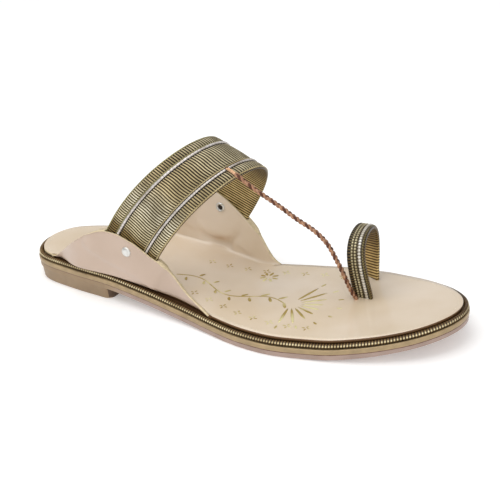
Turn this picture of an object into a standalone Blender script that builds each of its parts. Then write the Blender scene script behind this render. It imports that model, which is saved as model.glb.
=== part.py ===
"""Toe-loop slipper for the right foot: a leather top with bent-up side wings on a thin sole with a
low heel, an instep band, a loop for the big toe and a braided thong between them.

Sizes along the shoe are measured from the back of the heel, sizes across it from its long axis, with
the medial side at +Y, and heights from the ground. The finished shoe stands centred on the origin.
"""

import math
from collections import namedtuple

import bpy
import bmesh
import numpy as np

MM = 0.001
DEGREE = math.pi / 180
LATERAL, MEDIAL = -1, 1

# Sole
LENGTH = 250 * MM
SOLE_WIDTH = 93 * MM
TOE_SPRING = 10 * MM
HEEL_LIFT = 6.8 * MM
HEEL_LENGTH = 59 * MM
HEEL_CORNER = 4 * MM
HEEL_TAPER = 0.8 * MM
EDGE_ROUND = 0.6 * MM
OUTSOLE = 2.8 * MM
OUTSOLE_INSET = 0.4 * MM
TOE_TAPER = 1.6 * MM
TOE_TAPER_LENGTH = 45 * MM
MIDSOLE = 2.7 * MM
BEAD = 2.6 * MM
BEAD_INSET = 0.25 * MM
BOARD = 1.6 * MM
BOARD_INSET = 0.8 * MM
FIT_GAP = 0.3 * MM

# Leather top, whose sides bend up as wings that hold the band
LEATHER = 1.8 * MM
BEND_WIDTH = 3 * MM
BEND_HEIGHT = 5 * MM
WING_UPRIGHT = 20 * MM
POCKET_WALL = 1.0 * MM
POCKET_MARGIN = 5 * MM
POCKET_FADE = 4 * MM

# Where each wing reaches and where the band enters it
LATERAL_FOOT = 81.6 * MM
LATERAL_FOOT_HEIGHT = 25.4 * MM
LATERAL_LEAN = 1.0 * MM
LATERAL_WING_PEAK = 27.3 * MM
LATERAL_REAR_REACH = 63.6 * MM
LATERAL_FRONT_REACH = 48.4 * MM
LATERAL_TONGUE_REAR = 18 * MM
LATERAL_TONGUE_FRONT = 10.5 * MM
MEDIAL_FOOT = 103.4 * MM
MEDIAL_FOOT_HEIGHT = 33.7 * MM
MEDIAL_LEAN = 3.0 * MM
MEDIAL_WING_PEAK = 36.6 * MM
MEDIAL_REAR_REACH = 70 * MM
MEDIAL_FRONT_REACH = 31 * MM
MEDIAL_TONGUE_REAR = 26 * MM
MEDIAL_TONGUE_FRONT = 14 * MM

# Instep band
BAND_WIDTH = 32.1 * MM
BAND_WALL = 1.0 * MM
BAND_RELIEF = 0.6 * MM
BAND_RISE = 42.3 * MM
BAND_LEAN = 27.0 * MM
BAND_CROWN_DROP = 3.9 * MM
BAND_PITCH_LATERAL = 34.5 * DEGREE
BAND_PITCH_CROWN = 21.7 * DEGREE
BAND_PITCH_MEDIAL = 21.8 * DEGREE
BAND_YAW = 5.4 * DEGREE
SILVER_LINE = 1.4 * MM
SILVER_LINE_BEVEL = 0.28 * MM
SILVER_LINE_REAR = 6.9 * MM
SILVER_LINE_FRONT = 25.1 * MM

# Toe loop
LOOP_WIDTH = 10.7 * MM
LOOP_WALL = 1.6 * MM
LOOP_RELIEF = 0.6 * MM
LOOP_HEIGHT = 32.4 * MM
LOOP_LEAN = -2.4 * MM
LOOP_NEAR_ALONG = 190.8 * MM
LOOP_NEAR_ACROSS = 12.3 * MM
LOOP_FAR_ALONG = 184.2 * MM
LOOP_FAR_ACROSS = 36.1 * MM
LOOP_BULGE = 4.8 * MM
LOOP_PITCH = -9.8 * DEGREE
LOOP_YAW_NEAR = -5.0 * DEGREE
LOOP_YAW_FAR = -27.0 * DEGREE
LOOP_ROUNDNESS = 0.8

# Thong and rivets
THONG = 2.7 * MM
THONG_WRAP = 1.6 * MM
THONG_START = 0.445
THONG_BOW = 13.8 * MM
THONG_END_ALONG = 188.3 * MM
RIVET_DEPTH = 8.2 * MM
RIVET_HEAD = 5.5 * MM
RIVET_DOME = 1.1 * MM
RIVET_FLANGE = 0.7 * MM
RIVET_SHANK = 3.8 * MM
RIVET_BORE = 2.8 * MM
RIVET_BORE_DEPTH = 2.5 * MM

# How finely the shapes are divided
SOLE_ROWS = 52
LEATHER_ROWS = 72
BEAD_ROWS = 84
BAND_ROWS = 34
LOOP_ROWS = 26
THONG_ROWS = 44
SIDE_STRIP_STEPS = 4
MIDDLE_STRIP_STEPS = 8
CORNER_STEPS = 4
FLAT_STEPS = 4
BEND_STEPS = 6
UPRIGHT_STEPS = 5
ROUND_SIDES = 8
RIVET_SIDES = 16
ROW_SPACING = 0.004
TINY = 1e-4
STEP_TURN = 1e-8
MERGE = 0.001 * MM
SHARP_ANGLE = 35 * DEGREE

# Share of the length, then the middle and the half width as shares of half the sole's width
OUTLINE = (
    (0.00, -0.02, 0.0),
    (0.04, -0.02, 0.43),
    (0.12, 0.016, 0.575),
    (0.20, 0.013, 0.62),
    (0.28, -0.026, 0.637),
    (0.36, -0.061, 0.653),
    (0.44, -0.075, 0.70),
    (0.52, -0.070, 0.796),
    (0.60, -0.048, 0.913),
    (0.68, 0.006, 0.978),
    (0.76, 0.067, 0.955),
    (0.84, 0.10, 0.85),
    (0.92, 0.112, 0.645),
    (0.96, 0.112, 0.465),
    (1.00, 0.112, 0.0),
)

# Share of the length, then the underside's height as shares of the heel lift and of the toe spring
UNDERSIDE = (
    (0.00, 1.0, 0.0),
    (0.24, 1.0, 0.0),
    (0.32, 0.80, 0.0),
    (0.42, 0.38, 0.0),
    (0.50, 0.10, 0.0),
    (0.56, 0.0, 0.0),
    (0.68, 0.0, 0.0),
    (0.78, 0.0, 0.08),
    (0.86, 0.0, 0.32),
    (0.93, 0.0, 0.62),
    (1.00, 0.0, 1.0),
)

# Share of the wing's reach behind (-) and before (+) the band's foot, then share of its peak height
LATERAL_WING = (
    (-1.20, 0.0),
    (-1.00, 0.0),
    (-0.81, 0.27),
    (-0.686, 0.50),
    (-0.575, 0.685),
    (-0.465, 0.84),
    (-0.28, 0.99),
    (-0.20, 1.0),
    (0.0, 0.90),
    (0.186, 0.75),
    (0.316, 0.66),
    (0.46, 0.487),
    (0.638, 0.23),
    (0.79, 0.11),
    (1.0, 0.0),
    (1.2, 0.0),
)
MEDIAL_WING = (
    (-1.20, 0.0),
    (-1.00, 0.0),
    (-0.834, 0.20),
    (-0.677, 0.46),
    (-0.506, 0.76),
    (-0.363, 0.93),
    (-0.22, 1.0),
    (-0.08, 0.953),
    (0.0, 0.885),
    (0.165, 0.79),
    (0.335, 0.678),
    (0.503, 0.544),
    (0.635, 0.388),
    (0.748, 0.21),
    (0.829, 0.098),
    (1.0, 0.0),
    (1.2, 0.0),
)

# Share across the toe loop from its rear edge, then share of its raised rolls
LOOP_SECTION = (
    (0.0, 0.0),
    (0.10, 0.7),
    (0.25, 1.0),
    (0.42, 0.7),
    (0.50, 0.2),
    (0.58, 0.7),
    (0.70, 0.9),
    (0.82, 0.3),
    (0.90, 0.8),
    (1.0, 0.1),
)

# Share along the thong's chord, share across to its end, and share of its bow above the chord
THONG_ROUTE = (
    (0.09, 0.09, 0.10),
    (0.18, 0.19, 0.22),
    (0.35, 0.39, 0.49),
    (0.50, 0.56, 0.69),
    (0.65, 0.72, 0.95),
    (0.76, 0.79, 1.0),
    (0.845, 0.82, 0.78),
    (0.89, 0.84, 0.62),
    (0.94, 0.87, 0.36),
    (0.98, 0.94, 0.12),
)

# Share of the rivet head's radius, then share of its dome's height
RIVET_CAP = (
    (0.0, 1.0),
    (0.45, 0.9),
    (0.85, 0.55),
    (1.0, 0.15),
)

# Heights of the layers above the underside
MIDSOLE_LOW = OUTSOLE + FIT_GAP
MIDSOLE_TOP = MIDSOLE_LOW + MIDSOLE
BOARD_LOW = MIDSOLE_TOP + FIT_GAP
BOARD_TOP = BOARD_LOW + BOARD
LEATHER_LOW = BOARD_TOP + FIT_GAP
LEATHER_TOP = LEATHER_LOW + LEATHER
LEATHER_INSET = BEAD_INSET + BEAD + FIT_GAP

# Thicknesses that follow from what lies inside or beside
BAND_THICKNESS = BAND_WALL + BAND_RELIEF
POCKET_THICKNESS = BAND_THICKNESS + 2 * (FIT_GAP + POCKET_WALL)
LOOP_THICKNESS = LOOP_WALL + LOOP_RELIEF
THONG_END_ACROSS = LOOP_NEAR_ACROSS - LOOP_THICKNESS / 2 - FIT_GAP - THONG / 2


def curve(places, values):
    """Smooth curve through a table's values that never overshoots them."""
    x = np.array(places, float)
    y = np.array(values, float)
    step = np.diff(x)
    rise = np.diff(y) / step
    slope = np.zeros_like(y)
    slope[0], slope[-1] = rise[0], rise[-1]
    for i in range(1, len(x) - 1):
        before, after = rise[i - 1], rise[i]
        if before * after > 0:
            slope[i] = 2 * before * after / (before + after)

    def value(at):
        i = int(np.clip(np.searchsorted(x, at) - 1, 0, len(step) - 1))
        s = min(max((at - x[i]) / step[i], 0.0), 1.0)
        start = y[i] * (1 + 2 * s) * (1 - s) ** 2 + slope[i] * step[i] * s * (1 - s) ** 2
        end = y[i + 1] * s * s * (3 - 2 * s) - slope[i + 1] * step[i] * s * s * (1 - s)
        return float(start + end)
    return value


def column(table, index):
    return [row[index] for row in table]


def soft_step(x):
    """0 below 0, 1 above 1, and a smooth rise between."""
    x = min(max(x, 0.0), 1.0)
    return x * x * (3 - 2 * x)


def blend(start, end, share):
    return start + (end - start) * share


# The outline is read against an angle that turns evenly from heel to toe, so both ends come out round
TURNS = [math.acos(1 - 2 * share) / math.pi for share in column(OUTLINE, 0)]
middle_share = curve(TURNS, column(OUTLINE, 1))
width_share = curve(TURNS, column(OUTLINE, 2))
heel_share = curve(column(UNDERSIDE, 0), column(UNDERSIDE, 1))
toe_share = curve(column(UNDERSIDE, 0), column(UNDERSIDE, 2))


def ground(x):
    """Height of the sole's underside above the floor, apart from the heel block."""
    share = x / LENGTH
    return HEEL_LIFT * heel_share(share) + TOE_SPRING * toe_share(share)


def rim(u, side):
    """Point of the sole's outer edge at a turn u from 0 at the heel to 1 at the toe."""
    x = LENGTH * (1 - math.cos(math.pi * u)) / 2
    y = SOLE_WIDTH / 2 * (middle_share(u) + side * width_share(u))
    return np.array((x, y))


def edge(u, side, inset=0.0):
    """Point of the edge moved inwards, square to the outline."""
    if u <= 0:
        return rim(0, side) + (inset, 0)
    if u >= 1:
        return rim(1, side) - (inset, 0)
    along = rim(min(u + TINY, 1), side) - rim(max(u - TINY, 0), side)
    along /= np.linalg.norm(along)
    return rim(u, side) + side * inset * np.array((along[1], -along[0]))


def turn_at(x):
    """Turn at which the outline passes a distance from the heel."""
    return math.acos(1 - 2 * x / LENGTH) / math.pi


def turns(rows):
    return [k / rows for k in range(rows + 1)]


def half_span(side, foot, lean):
    """Distance from the shoe's axis to a wing's upright at the band's foot."""
    return side * edge(turn_at(foot), side, LEATHER_INSET)[1] + lean


Wing = namedtuple("Wing", "side foot foot_height half_span peak rear front shape tongue_rear tongue_front")
WINGS = {
    LATERAL: Wing(LATERAL, LATERAL_FOOT, LATERAL_FOOT_HEIGHT,
                  half_span(LATERAL, LATERAL_FOOT, LATERAL_LEAN), LATERAL_WING_PEAK,
                  LATERAL_REAR_REACH, LATERAL_FRONT_REACH,
                  curve(column(LATERAL_WING, 0), column(LATERAL_WING, 1)),
                  LATERAL_TONGUE_REAR, LATERAL_TONGUE_FRONT),
    MEDIAL: Wing(MEDIAL, MEDIAL_FOOT, MEDIAL_FOOT_HEIGHT,
                 half_span(MEDIAL, MEDIAL_FOOT, MEDIAL_LEAN), MEDIAL_WING_PEAK,
                 MEDIAL_REAR_REACH, MEDIAL_FRONT_REACH,
                 curve(column(MEDIAL_WING, 0), column(MEDIAL_WING, 1)),
                 MEDIAL_TONGUE_REAR, MEDIAL_TONGUE_FRONT),
}


def material(name, color, roughness, metallic=0.0):
    """Principled material from a colour with linear red, green and blue."""
    made = bpy.data.materials.new(name)
    made.use_nodes = True
    shader = made.node_tree.nodes["Principled BSDF"]
    shader.inputs["Base Color"].default_value = (*color, 1)
    shader.inputs["Roughness"].default_value = roughness
    shader.inputs["Metallic"].default_value = metallic
    return made


def finish(name, mesh, surface):
    """Closed triangle mesh from a bmesh, as an object under the shoe's empty."""
    bmesh.ops.remove_doubles(mesh, verts=mesh.verts, dist=MERGE)
    bmesh.ops.triangulate(mesh, faces=mesh.faces)
    bmesh.ops.recalc_face_normals(mesh, faces=mesh.faces)
    data = bpy.data.meshes.new(name)
    mesh.to_mesh(data)
    mesh.free()
    data.shade_smooth()
    data.set_sharp_from_angle(angle=SHARP_ANGLE)
    made = bpy.data.objects.new(name, data)
    bpy.context.collection.objects.link(made)
    made.parent = bpy.data.objects["shoe"]
    if surface:
        data.materials.append(surface)
    else:
        made.hide_render = True
        made.display_type = 'WIRE'
    return made


def loft(name, rings, surface, capped=True):
    """Body skinned through rings of points; without caps, its end rings fold shut by themselves."""
    mesh = bmesh.new()
    skin = [[mesh.verts.new(point) for point in ring] for ring in rings]
    count = len(rings[0])
    for first, second in zip(skin, skin[1:]):
        for i in range(count):
            j = (i + 1) % count
            mesh.faces.new((first[i], first[j], second[j], second[i]))
    if capped:
        mesh.faces.new(skin[0][::-1])
        mesh.faces.new(skin[-1])
    return finish(name, mesh, surface)


def tube(name, points, radii, surface, closed=False):
    """Round bar along points, square to its way, with flat ends or joined to a ring."""
    count = len(points)
    angles = [2 * math.pi * (k + 0.5) / ROUND_SIDES for k in range(ROUND_SIDES)]
    rings = []
    up = np.array((0.0, 0.0, 1.0))
    for i, (point, radius) in enumerate(zip(points, radii)):
        after = points[(i + 1) % count] if closed else points[min(i + 1, count - 1)]
        before = points[i - 1] if closed else points[max(i - 1, 0)]
        way = (after - before) / np.linalg.norm(after - before)
        aside = np.cross(way, up)
        aside /= np.linalg.norm(aside)
        if not closed:
            up = np.cross(aside, way)
        rings.append([point + radius * (math.cos(a) * aside + math.sin(a) * np.cross(aside, way))
                      for a in angles])
    if closed:
        rings.append(rings[0])
    return loft(name, rings, surface, capped=not closed)


def plate(name, rows, profile, surface):
    """Layer of the sole: at each turn, the profile gives inset and height pairs from low to high."""
    rings = []
    for u in rows:
        ring = []
        for side, order in ((LATERAL, 1), (MEDIAL, -1)):
            points = []
            for inset, height in profile(u):
                x, y = edge(u, side, inset)
                points.append((x, y, height(x)))
            ring += points[::order]
        rings.append(ring)
    return loft(name, rings, surface, capped=False)


def level(height):
    """Height above the underside, as a function of the distance from the heel."""
    return lambda x: ground(x) + height


def floor_level(height):
    return lambda x: height


def make_outsole(surface):
    """Sole plate with the heel block on it, down to the floor; the block's front corners are round."""
    breast = turn_at(HEEL_LENGTH)
    corner_angles = [math.pi / 2 * k / CORNER_STEPS for k in range(CORNER_STEPS)]
    corner = [turn_at(HEEL_LENGTH - HEEL_CORNER * (1 - math.sin(angle))) for angle in corner_angles]
    rows = [u for u in turns(SOLE_ROWS) if u < corner[0] - TINY or u > breast + ROW_SPACING]
    rows += corner + [breast, breast + STEP_TURN]

    def profile(u):
        x = rim(u, LATERAL)[0]
        low = OUTSOLE_INSET + EDGE_ROUND + TOE_TAPER * soft_step(1 - (LENGTH - x) / TOE_TAPER_LENGTH)
        into_corner = max(x - HEEL_LENGTH + HEEL_CORNER, 0) / HEEL_CORNER
        drawn_in = HEEL_CORNER * (1 - math.sqrt(max(1 - min(into_corner, 1) ** 2, 0)))
        if u > breast:
            drawn_in = HEEL_CORNER if u < breast + TINY else 0
            block = [(low + drawn_in, level(0))] * 3
        else:
            block = [
                (low + HEEL_TAPER + EDGE_ROUND + drawn_in, floor_level(0)),
                (low + HEEL_TAPER + drawn_in, floor_level(EDGE_ROUND)),
                (low + drawn_in, level(0)),
            ]
        return block + [
            (low, level(0)),
            (OUTSOLE_INSET, level(EDGE_ROUND)),
            (OUTSOLE_INSET, level(OUTSOLE)),
        ]
    return plate("outsole", sorted(rows), profile, surface)


def make_midsole(surface):
    """Rand between outsole and board, its side slightly rounded."""
    pairs = [
        (EDGE_ROUND / 2, level(MIDSOLE_LOW)),
        (0, level(MIDSOLE_LOW + EDGE_ROUND)),
        (0, level(MIDSOLE_TOP - EDGE_ROUND / 2)),
        (EDGE_ROUND / 2, level(MIDSOLE_TOP)),
    ]
    return plate("midsole", turns(SOLE_ROWS), lambda u: pairs, surface)


def make_board(surface):
    """Insole board under the leather, set back from its edge."""
    inset = LEATHER_INSET + BOARD_INSET
    pairs = [(inset, level(BOARD_LOW)), (inset, level(BOARD_TOP))]
    return plate("insole_board", turns(SOLE_ROWS), lambda u: pairs, surface)


def make_piping(surface):
    """Round bead that runs once about the board, on the rand."""
    inset = BEAD_INSET + BEAD / 2
    height = BOARD_LOW + BEAD / 2
    half = BEAD_ROWS // 2
    way = [(k / half, LATERAL) for k in range(half)] + [(1 - k / half, MEDIAL) for k in range(half)]
    points = []
    for u, side in way:
        x, y = edge(u, side, inset)
        points.append(np.array((x, y, ground(x) + height)))
    return tube("piping", points, [BEAD / 2] * len(points), surface, closed=True)


def wing_height(wing, x):
    """Height of the wing's free edge above the leather's middle."""
    offset = x - wing.foot
    share = offset / (wing.rear if offset < 0 else wing.front)
    return wing.peak * wing.shape(share)


def band_up():
    """Direction in which the band leaves both wings."""
    way = np.array((BAND_LEAN, 0, BAND_RISE))
    return way / np.linalg.norm(way)


def band_foot(wing):
    """Middle of the band where it starts to arch over from a wing."""
    return np.array((wing.foot, wing.side * wing.half_span,
                     ground(wing.foot) + LEATHER_TOP + wing.foot_height))


def band_ruling(t):
    """Direction across the band from its rear to its front edge, t from 0 lateral to 1 medial."""
    pitch = (BAND_PITCH_LATERAL * (1 - t) * (1 - 2 * t) + BAND_PITCH_CROWN * 4 * t * (1 - t)
             + BAND_PITCH_MEDIAL * t * (2 * t - 1))
    yaw = BAND_YAW * math.sin(math.pi * t)
    way = np.array((math.cos(pitch), -math.sin(yaw), -math.sin(pitch)))
    return way / np.linalg.norm(way)


def band_middle(t):
    angle = math.pi * t
    start, end = band_foot(WINGS[LATERAL]), band_foot(WINGS[MEDIAL])
    rise = np.array((BAND_LEAN, 0, BAND_RISE)) * math.sin(angle)
    drop = np.array((0, 0, BAND_CROWN_DROP)) * math.sin(angle) ** 2
    return (start + end) / 2 - (end - start) / 2 * math.cos(angle) + rise - drop


def band_point(t, across, out, down=0.0):
    """Point of the band: across from its middle line, out from its wall's middle, down into a wing."""
    way = band_middle(min(t + TINY, 1)) - band_middle(max(t - TINY, 0))
    normal = np.cross(band_ruling(t), way)
    normal /= np.linalg.norm(normal)
    return band_middle(t) + band_ruling(t) * across + normal * out - band_up() * down


def tongue_depth(wing, across):
    """Length of the band's end inside the wing, from the band's foot line."""
    return blend(wing.tongue_rear, wing.tongue_front, across / BAND_WIDTH + 0.5)


def pocket_share(wing, x, z):
    """1 over the wing's pocket and 0 away from it."""
    foot = band_foot(wing)
    t = 0 if wing.side == LATERAL else 1
    offset = np.array((x - foot[0], 0, z - foot[2]))
    across = float(offset @ band_ruling(t))
    down = -float(offset @ band_up())
    inside = min(max(across, -BAND_WIDTH / 2), BAND_WIDTH / 2)
    beside = max(abs(across) - BAND_WIDTH / 2 - POCKET_MARGIN, 0)
    below = max(down - tongue_depth(wing, inside) - POCKET_MARGIN, 0)
    return 1 - soft_step(math.hypot(beside, below) / POCKET_FADE)


def leather_side(u, side):
    """Half a section of the leather, from the flat footbed out and up to the wing's free edge.

    Gives pairs of points, inner and outer face.
    """
    wing = WINGS[side]
    x, y = edge(u, side, LEATHER_INSET)
    low = ground(x) + LEATHER_LOW + LEATHER / 2
    height = wing_height(wing, x)
    bend = math.acos(max(1 - height / BEND_HEIGHT, 0.0))
    root = side * y - LEATHER / 2 * math.sin(bend)
    upright = soft_step(height / WING_UPRIGHT)
    width = BEND_WIDTH + (wing.half_span - root) * upright
    flat = root - BEND_WIDTH * math.sin(bend)
    line = []
    for k in range(BEND_STEPS + 1):
        angle = bend * k / BEND_STEPS
        normal = np.array((-BEND_HEIGHT * math.sin(angle), width * math.cos(angle)))
        line.append((flat + width * math.sin(angle), BEND_HEIGHT * (1 - math.cos(angle)), normal))
    straight = max(height - BEND_HEIGHT, 0.0)
    out, top, normal = line[-1]
    for k in range(1, UPRIGHT_STEPS + 1):
        line.append((out, top + straight * k / UPRIGHT_STEPS, normal))
    pairs = []
    for out, up, normal in line:
        filled = pocket_share(wing, x, low + up) * upright * soft_step(up / BEND_HEIGHT)
        shift = normal / np.linalg.norm(normal) * blend(LEATHER, POCKET_THICKNESS, filled) / 2
        inner = np.array((x, side * (out + shift[0]), low + up + shift[1]))
        outer = np.array((x, side * (out - shift[0]), low + up - shift[1]))
        pairs.append((inner, outer))
    return pairs


def make_leather(surface):
    """Footbed and both wings as one bent sheet."""
    rings = []
    for u in turns(LEATHER_ROWS):
        lateral, medial = leather_side(u, LATERAL), leather_side(u, MEDIAL)
        shares = [k / FLAT_STEPS for k in range(1, FLAT_STEPS)]
        flat_top = [blend(lateral[0][0], medial[0][0], s) for s in shares]
        flat_low = [blend(lateral[0][1], medial[0][1], s) for s in shares]
        top = [pair[0] for pair in lateral[::-1]] + flat_top + [pair[0] for pair in medial]
        low = [pair[1] for pair in lateral[::-1]] + flat_low + [pair[1] for pair in medial]
        rings.append(top + low[::-1])
    return loft("leather_top", rings, surface, capped=False)


def band_section():
    """Outer line across the band: three padded strips between two silver lines, as (across, relief)."""
    rear = SILVER_LINE_REAR - BAND_WIDTH / 2
    front = SILVER_LINE_FRONT - BAND_WIDTH / 2
    strips = (
        (-BAND_WIDTH / 2, rear - SILVER_LINE / 2, SIDE_STRIP_STEPS),
        (rear + SILVER_LINE / 2, front - SILVER_LINE / 2, MIDDLE_STRIP_STEPS),
        (front + SILVER_LINE / 2, BAND_WIDTH / 2, SIDE_STRIP_STEPS),
    )
    line = []
    for start, end, steps in strips:
        for k in range(steps + 1):
            share = k / steps
            relief = BAND_RELIEF * math.sqrt(math.sin(math.pi * share)) if 0 < k < steps else 0.0
            line.append((blend(start, end, share), relief))
        if end < BAND_WIDTH / 2:
            line.append((end + SILVER_LINE_BEVEL, BAND_RELIEF))
            line.append((end + SILVER_LINE - SILVER_LINE_BEVEL, BAND_RELIEF))
    return line


def make_band(surface):
    """Arched band whose ends run on straight as tongues inside the wings."""
    inner = -BAND_THICKNESS / 2
    outline = [(across, inner + BAND_WALL + relief) for across, relief in band_section()]
    outline += [(BAND_WIDTH * share, inner) for share in (0.5, 0.25, 0, -0.25, -0.5)]
    rings = [[band_point(0, a, out, tongue_depth(WINGS[LATERAL], a)) for a, out in outline]]
    for t in turns(BAND_ROWS):
        rings.append([band_point(t, a, out) for a, out in outline])
    rings.append([band_point(1, a, out, tongue_depth(WINGS[MEDIAL], a)) for a, out in outline])
    return loft("instep_band", rings, surface)


def pocket_cutter(wing, name):
    """Slot for the band's end, open at the wing's free edge."""
    t = 0 if wing.side == LATERAL else 1
    half, wall = BAND_WIDTH / 2 + FIT_GAP, BAND_THICKNESS / 2 + FIT_GAP
    corners = ((-half, -wall), (half, -wall), (half, wall), (-half, wall))
    bottom = [band_point(t, a, out, tongue_depth(wing, a) + FIT_GAP) for a, out in corners]
    top = [band_point(t, a, out, -BEND_HEIGHT) for a, out in corners]
    return loft(name, [bottom, top], None)


def turned(name, profile, centre, side, surface):
    """Body turned about a line across the shoe; the profile gives radius and place outwards."""
    mesh = bmesh.new()
    points = [mesh.verts.new((centre[0] + radius, centre[1] + side * out, centre[2]))
              for radius, out in profile]
    for first, second in zip(points, points[1:]):
        mesh.edges.new((first, second))
    bmesh.ops.spin(mesh, geom=mesh.verts[:] + mesh.edges[:], cent=centre, axis=(0, 1, 0),
                   angle=2 * math.pi, steps=RIVET_SIDES, use_merge=True)
    return finish(name, mesh, surface)


def rivet_place(wing):
    t = 0 if wing.side == LATERAL else 1
    return band_point(t, 0, 0, RIVET_DEPTH)


def make_rivet(name, wing, surface):
    """Tubular rivet: domed head outside, rolled flange with a bore inside."""
    wall = POCKET_THICKNESS / 2 + FIT_GAP
    head, shank, bore = RIVET_HEAD / 2, RIVET_SHANK / 2, RIVET_BORE / 2
    inner = -wall - RIVET_FLANGE
    profile = [(head * radius, wall + RIVET_DOME * height) for radius, height in RIVET_CAP]
    profile += [
        (head, wall),
        (shank, wall),
        (shank, -wall),
        (head, -wall),
        (head - RIVET_FLANGE / 2, inner),
        (bore, inner),
        (bore, inner + RIVET_BORE_DEPTH),
        (0, inner + RIVET_BORE_DEPTH),
    ]
    return turned(name, profile, rivet_place(wing), wing.side, surface)


def rivet_cutter(name, wing):
    radius = RIVET_SHANK / 2 + FIT_GAP
    reach = POCKET_THICKNESS
    profile = [(0, reach), (radius, reach), (radius, -reach), (0, -reach)]
    return turned(name, profile, rivet_place(wing), wing.side, None)


def loop_ruling(t):
    yaw = blend(LOOP_YAW_NEAR, LOOP_YAW_FAR, t)
    return np.array((math.cos(LOOP_PITCH) * math.cos(yaw), math.cos(LOOP_PITCH) * math.sin(yaw),
                     -math.sin(LOOP_PITCH)))


def loop_middle(t):
    """Middle line of the toe loop, t from 0 between the toes to 1 at the far leg."""
    angle = math.pi * t
    ends = [np.array((x, y, ground(x) + LEATHER_TOP)) for x, y in
            ((LOOP_NEAR_ALONG, LOOP_NEAR_ACROSS), (LOOP_FAR_ALONG, LOOP_FAR_ACROSS))]
    side = math.copysign(abs(math.cos(angle)) ** LOOP_ROUNDNESS, math.cos(angle))
    up = max(math.sin(angle), 0) ** LOOP_ROUNDNESS
    rise = np.array((LOOP_LEAN, 0, LOOP_HEIGHT)) * up
    bulge = np.array((0, LOOP_BULGE * math.sin(2 * angle), 0))
    return (ends[0] + ends[1]) / 2 - (ends[1] - ends[0]) / 2 * side + rise - bulge


def loop_point(t, across, out):
    way = loop_middle(min(t + TINY, 1)) - loop_middle(max(t - TINY, 0))
    normal = np.cross(loop_ruling(t), way)
    normal /= np.linalg.norm(normal)
    return loop_middle(t) + loop_ruling(t) * across + normal * out


def loop_leg(t, across, out, height):
    """Point of a leg straight below the loop's end, at a height above the underside."""
    x, y, z = loop_point(t, across, out)
    return np.array((x, y, ground(x) + height))


def make_loop(surface):
    """Strip round the big toe, with rolls along its outer face and legs through the leather."""
    inner = -LOOP_THICKNESS / 2
    outline = [((share - 0.5) * LOOP_WIDTH, inner + LOOP_WALL + LOOP_RELIEF * relief)
               for share, relief in LOOP_SECTION]
    outline += [(LOOP_WIDTH * share, inner) for share in (0.5, 0, -0.5)]
    rings = [[loop_leg(0, a, out, LEATHER_LOW) for a, out in outline]]
    for t in turns(LOOP_ROWS):
        rings.append([loop_point(t, a, out) for a, out in outline])
    rings.append([loop_leg(1, a, out, LEATHER_LOW) for a, out in outline])
    return loft("toe_loop", rings, surface)


def loop_cutter(name, t):
    half, wall = LOOP_WIDTH / 2 + FIT_GAP, LOOP_THICKNESS / 2 + FIT_GAP
    corners = ((-half, -wall), (half, -wall), (half, wall), (-half, wall))
    low = [loop_leg(t, a, out, LEATHER_LOW - LEATHER) for a, out in corners]
    top = [loop_leg(t, a, out, LEATHER_TOP + LEATHER) for a, out in corners]
    return loft(name, [low, top], None)


def over_band():
    """Points of the thong's thin end, from the front silver line over the strip to its front edge."""
    lift = BAND_THICKNESS / 2 + FIT_GAP + THONG_WRAP / 2
    line = SILVER_LINE_FRONT - BAND_WIDTH / 2
    steps = [k / SIDE_STRIP_STEPS for k in range(SIDE_STRIP_STEPS + 1)]
    return [band_point(THONG_START, blend(line, BAND_WIDTH / 2, s), lift) for s in steps]


def thong_points():
    """Route of the thong: over the band's front strip, down in a bow and through the leather."""
    over = over_band()
    start = over[-1]
    end = np.array((THONG_END_ALONG, THONG_END_ACROSS, ground(THONG_END_ALONG) + LEATHER_TOP))
    route = []
    for along, across, bow in THONG_ROUTE:
        point = blend(start, end, along)
        point[1] = blend(start[1], end[1], across)
        point[2] += THONG_BOW * bow
        route.append(point)
    return over + route + [end, end - (0, 0, LEATHER)]


def make_thong(surface):
    """Braid as a round bar, evenly divided along its route and thin where it lies on the band."""
    points = np.array(thong_points())
    steps = np.linalg.norm(np.diff(points, axis=0), axis=1)
    places = np.concatenate(([0.0], np.cumsum(steps)))
    edge_place = places[SIDE_STRIP_STEPS]
    axes = [curve(places, points[:, axis]) for axis in range(3)]
    line, radii = [], []
    for share in turns(THONG_ROWS):
        place = places[-1] * share
        line.append(np.array([axis(place) for axis in axes]))
        grown = soft_step((place - edge_place) / THONG)
        radii.append(blend(THONG_WRAP, THONG, grown) / 2)
    return tube("thong", line, radii, surface)


def thong_cutter(name):
    middle = ground(THONG_END_ALONG) + LEATHER_LOW + LEATHER / 2
    radius = THONG / 2 + FIT_GAP
    mesh = bmesh.new()
    bmesh.ops.create_cone(mesh, cap_ends=True, segments=RIVET_SIDES, radius1=radius, radius2=radius,
                          depth=2 * LEATHER)
    bmesh.ops.translate(mesh, verts=mesh.verts, vec=(THONG_END_ALONG, THONG_END_ACROSS, middle))
    return finish(name, mesh, None)


def cut(target, cutters):
    """Takes all cutters out of the target in one go."""
    group = bpy.data.collections.new(target.name + "_cuts")
    for cutter in cutters:
        group.objects.link(cutter)
    modifier = target.modifiers.new("cuts", 'BOOLEAN')
    modifier.operation = 'DIFFERENCE'
    modifier.solver = 'EXACT'
    modifier.operand_type = 'COLLECTION'
    modifier.collection = group


def clear_scene():
    for old in list(bpy.data.objects):
        bpy.data.objects.remove(old)


def place_shoe():
    """Empty that carries every piece, so that the sole stands centred on the origin."""
    sole_edge = [edge(u, side)[1] for u in turns(SOLE_ROWS) for side in (LATERAL, MEDIAL)]
    shoe = bpy.data.objects.new("shoe", None)
    shoe.location = (-LENGTH / 2, -(max(sole_edge) + min(sole_edge)) / 2, 0)
    bpy.context.collection.objects.link(shoe)


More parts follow.
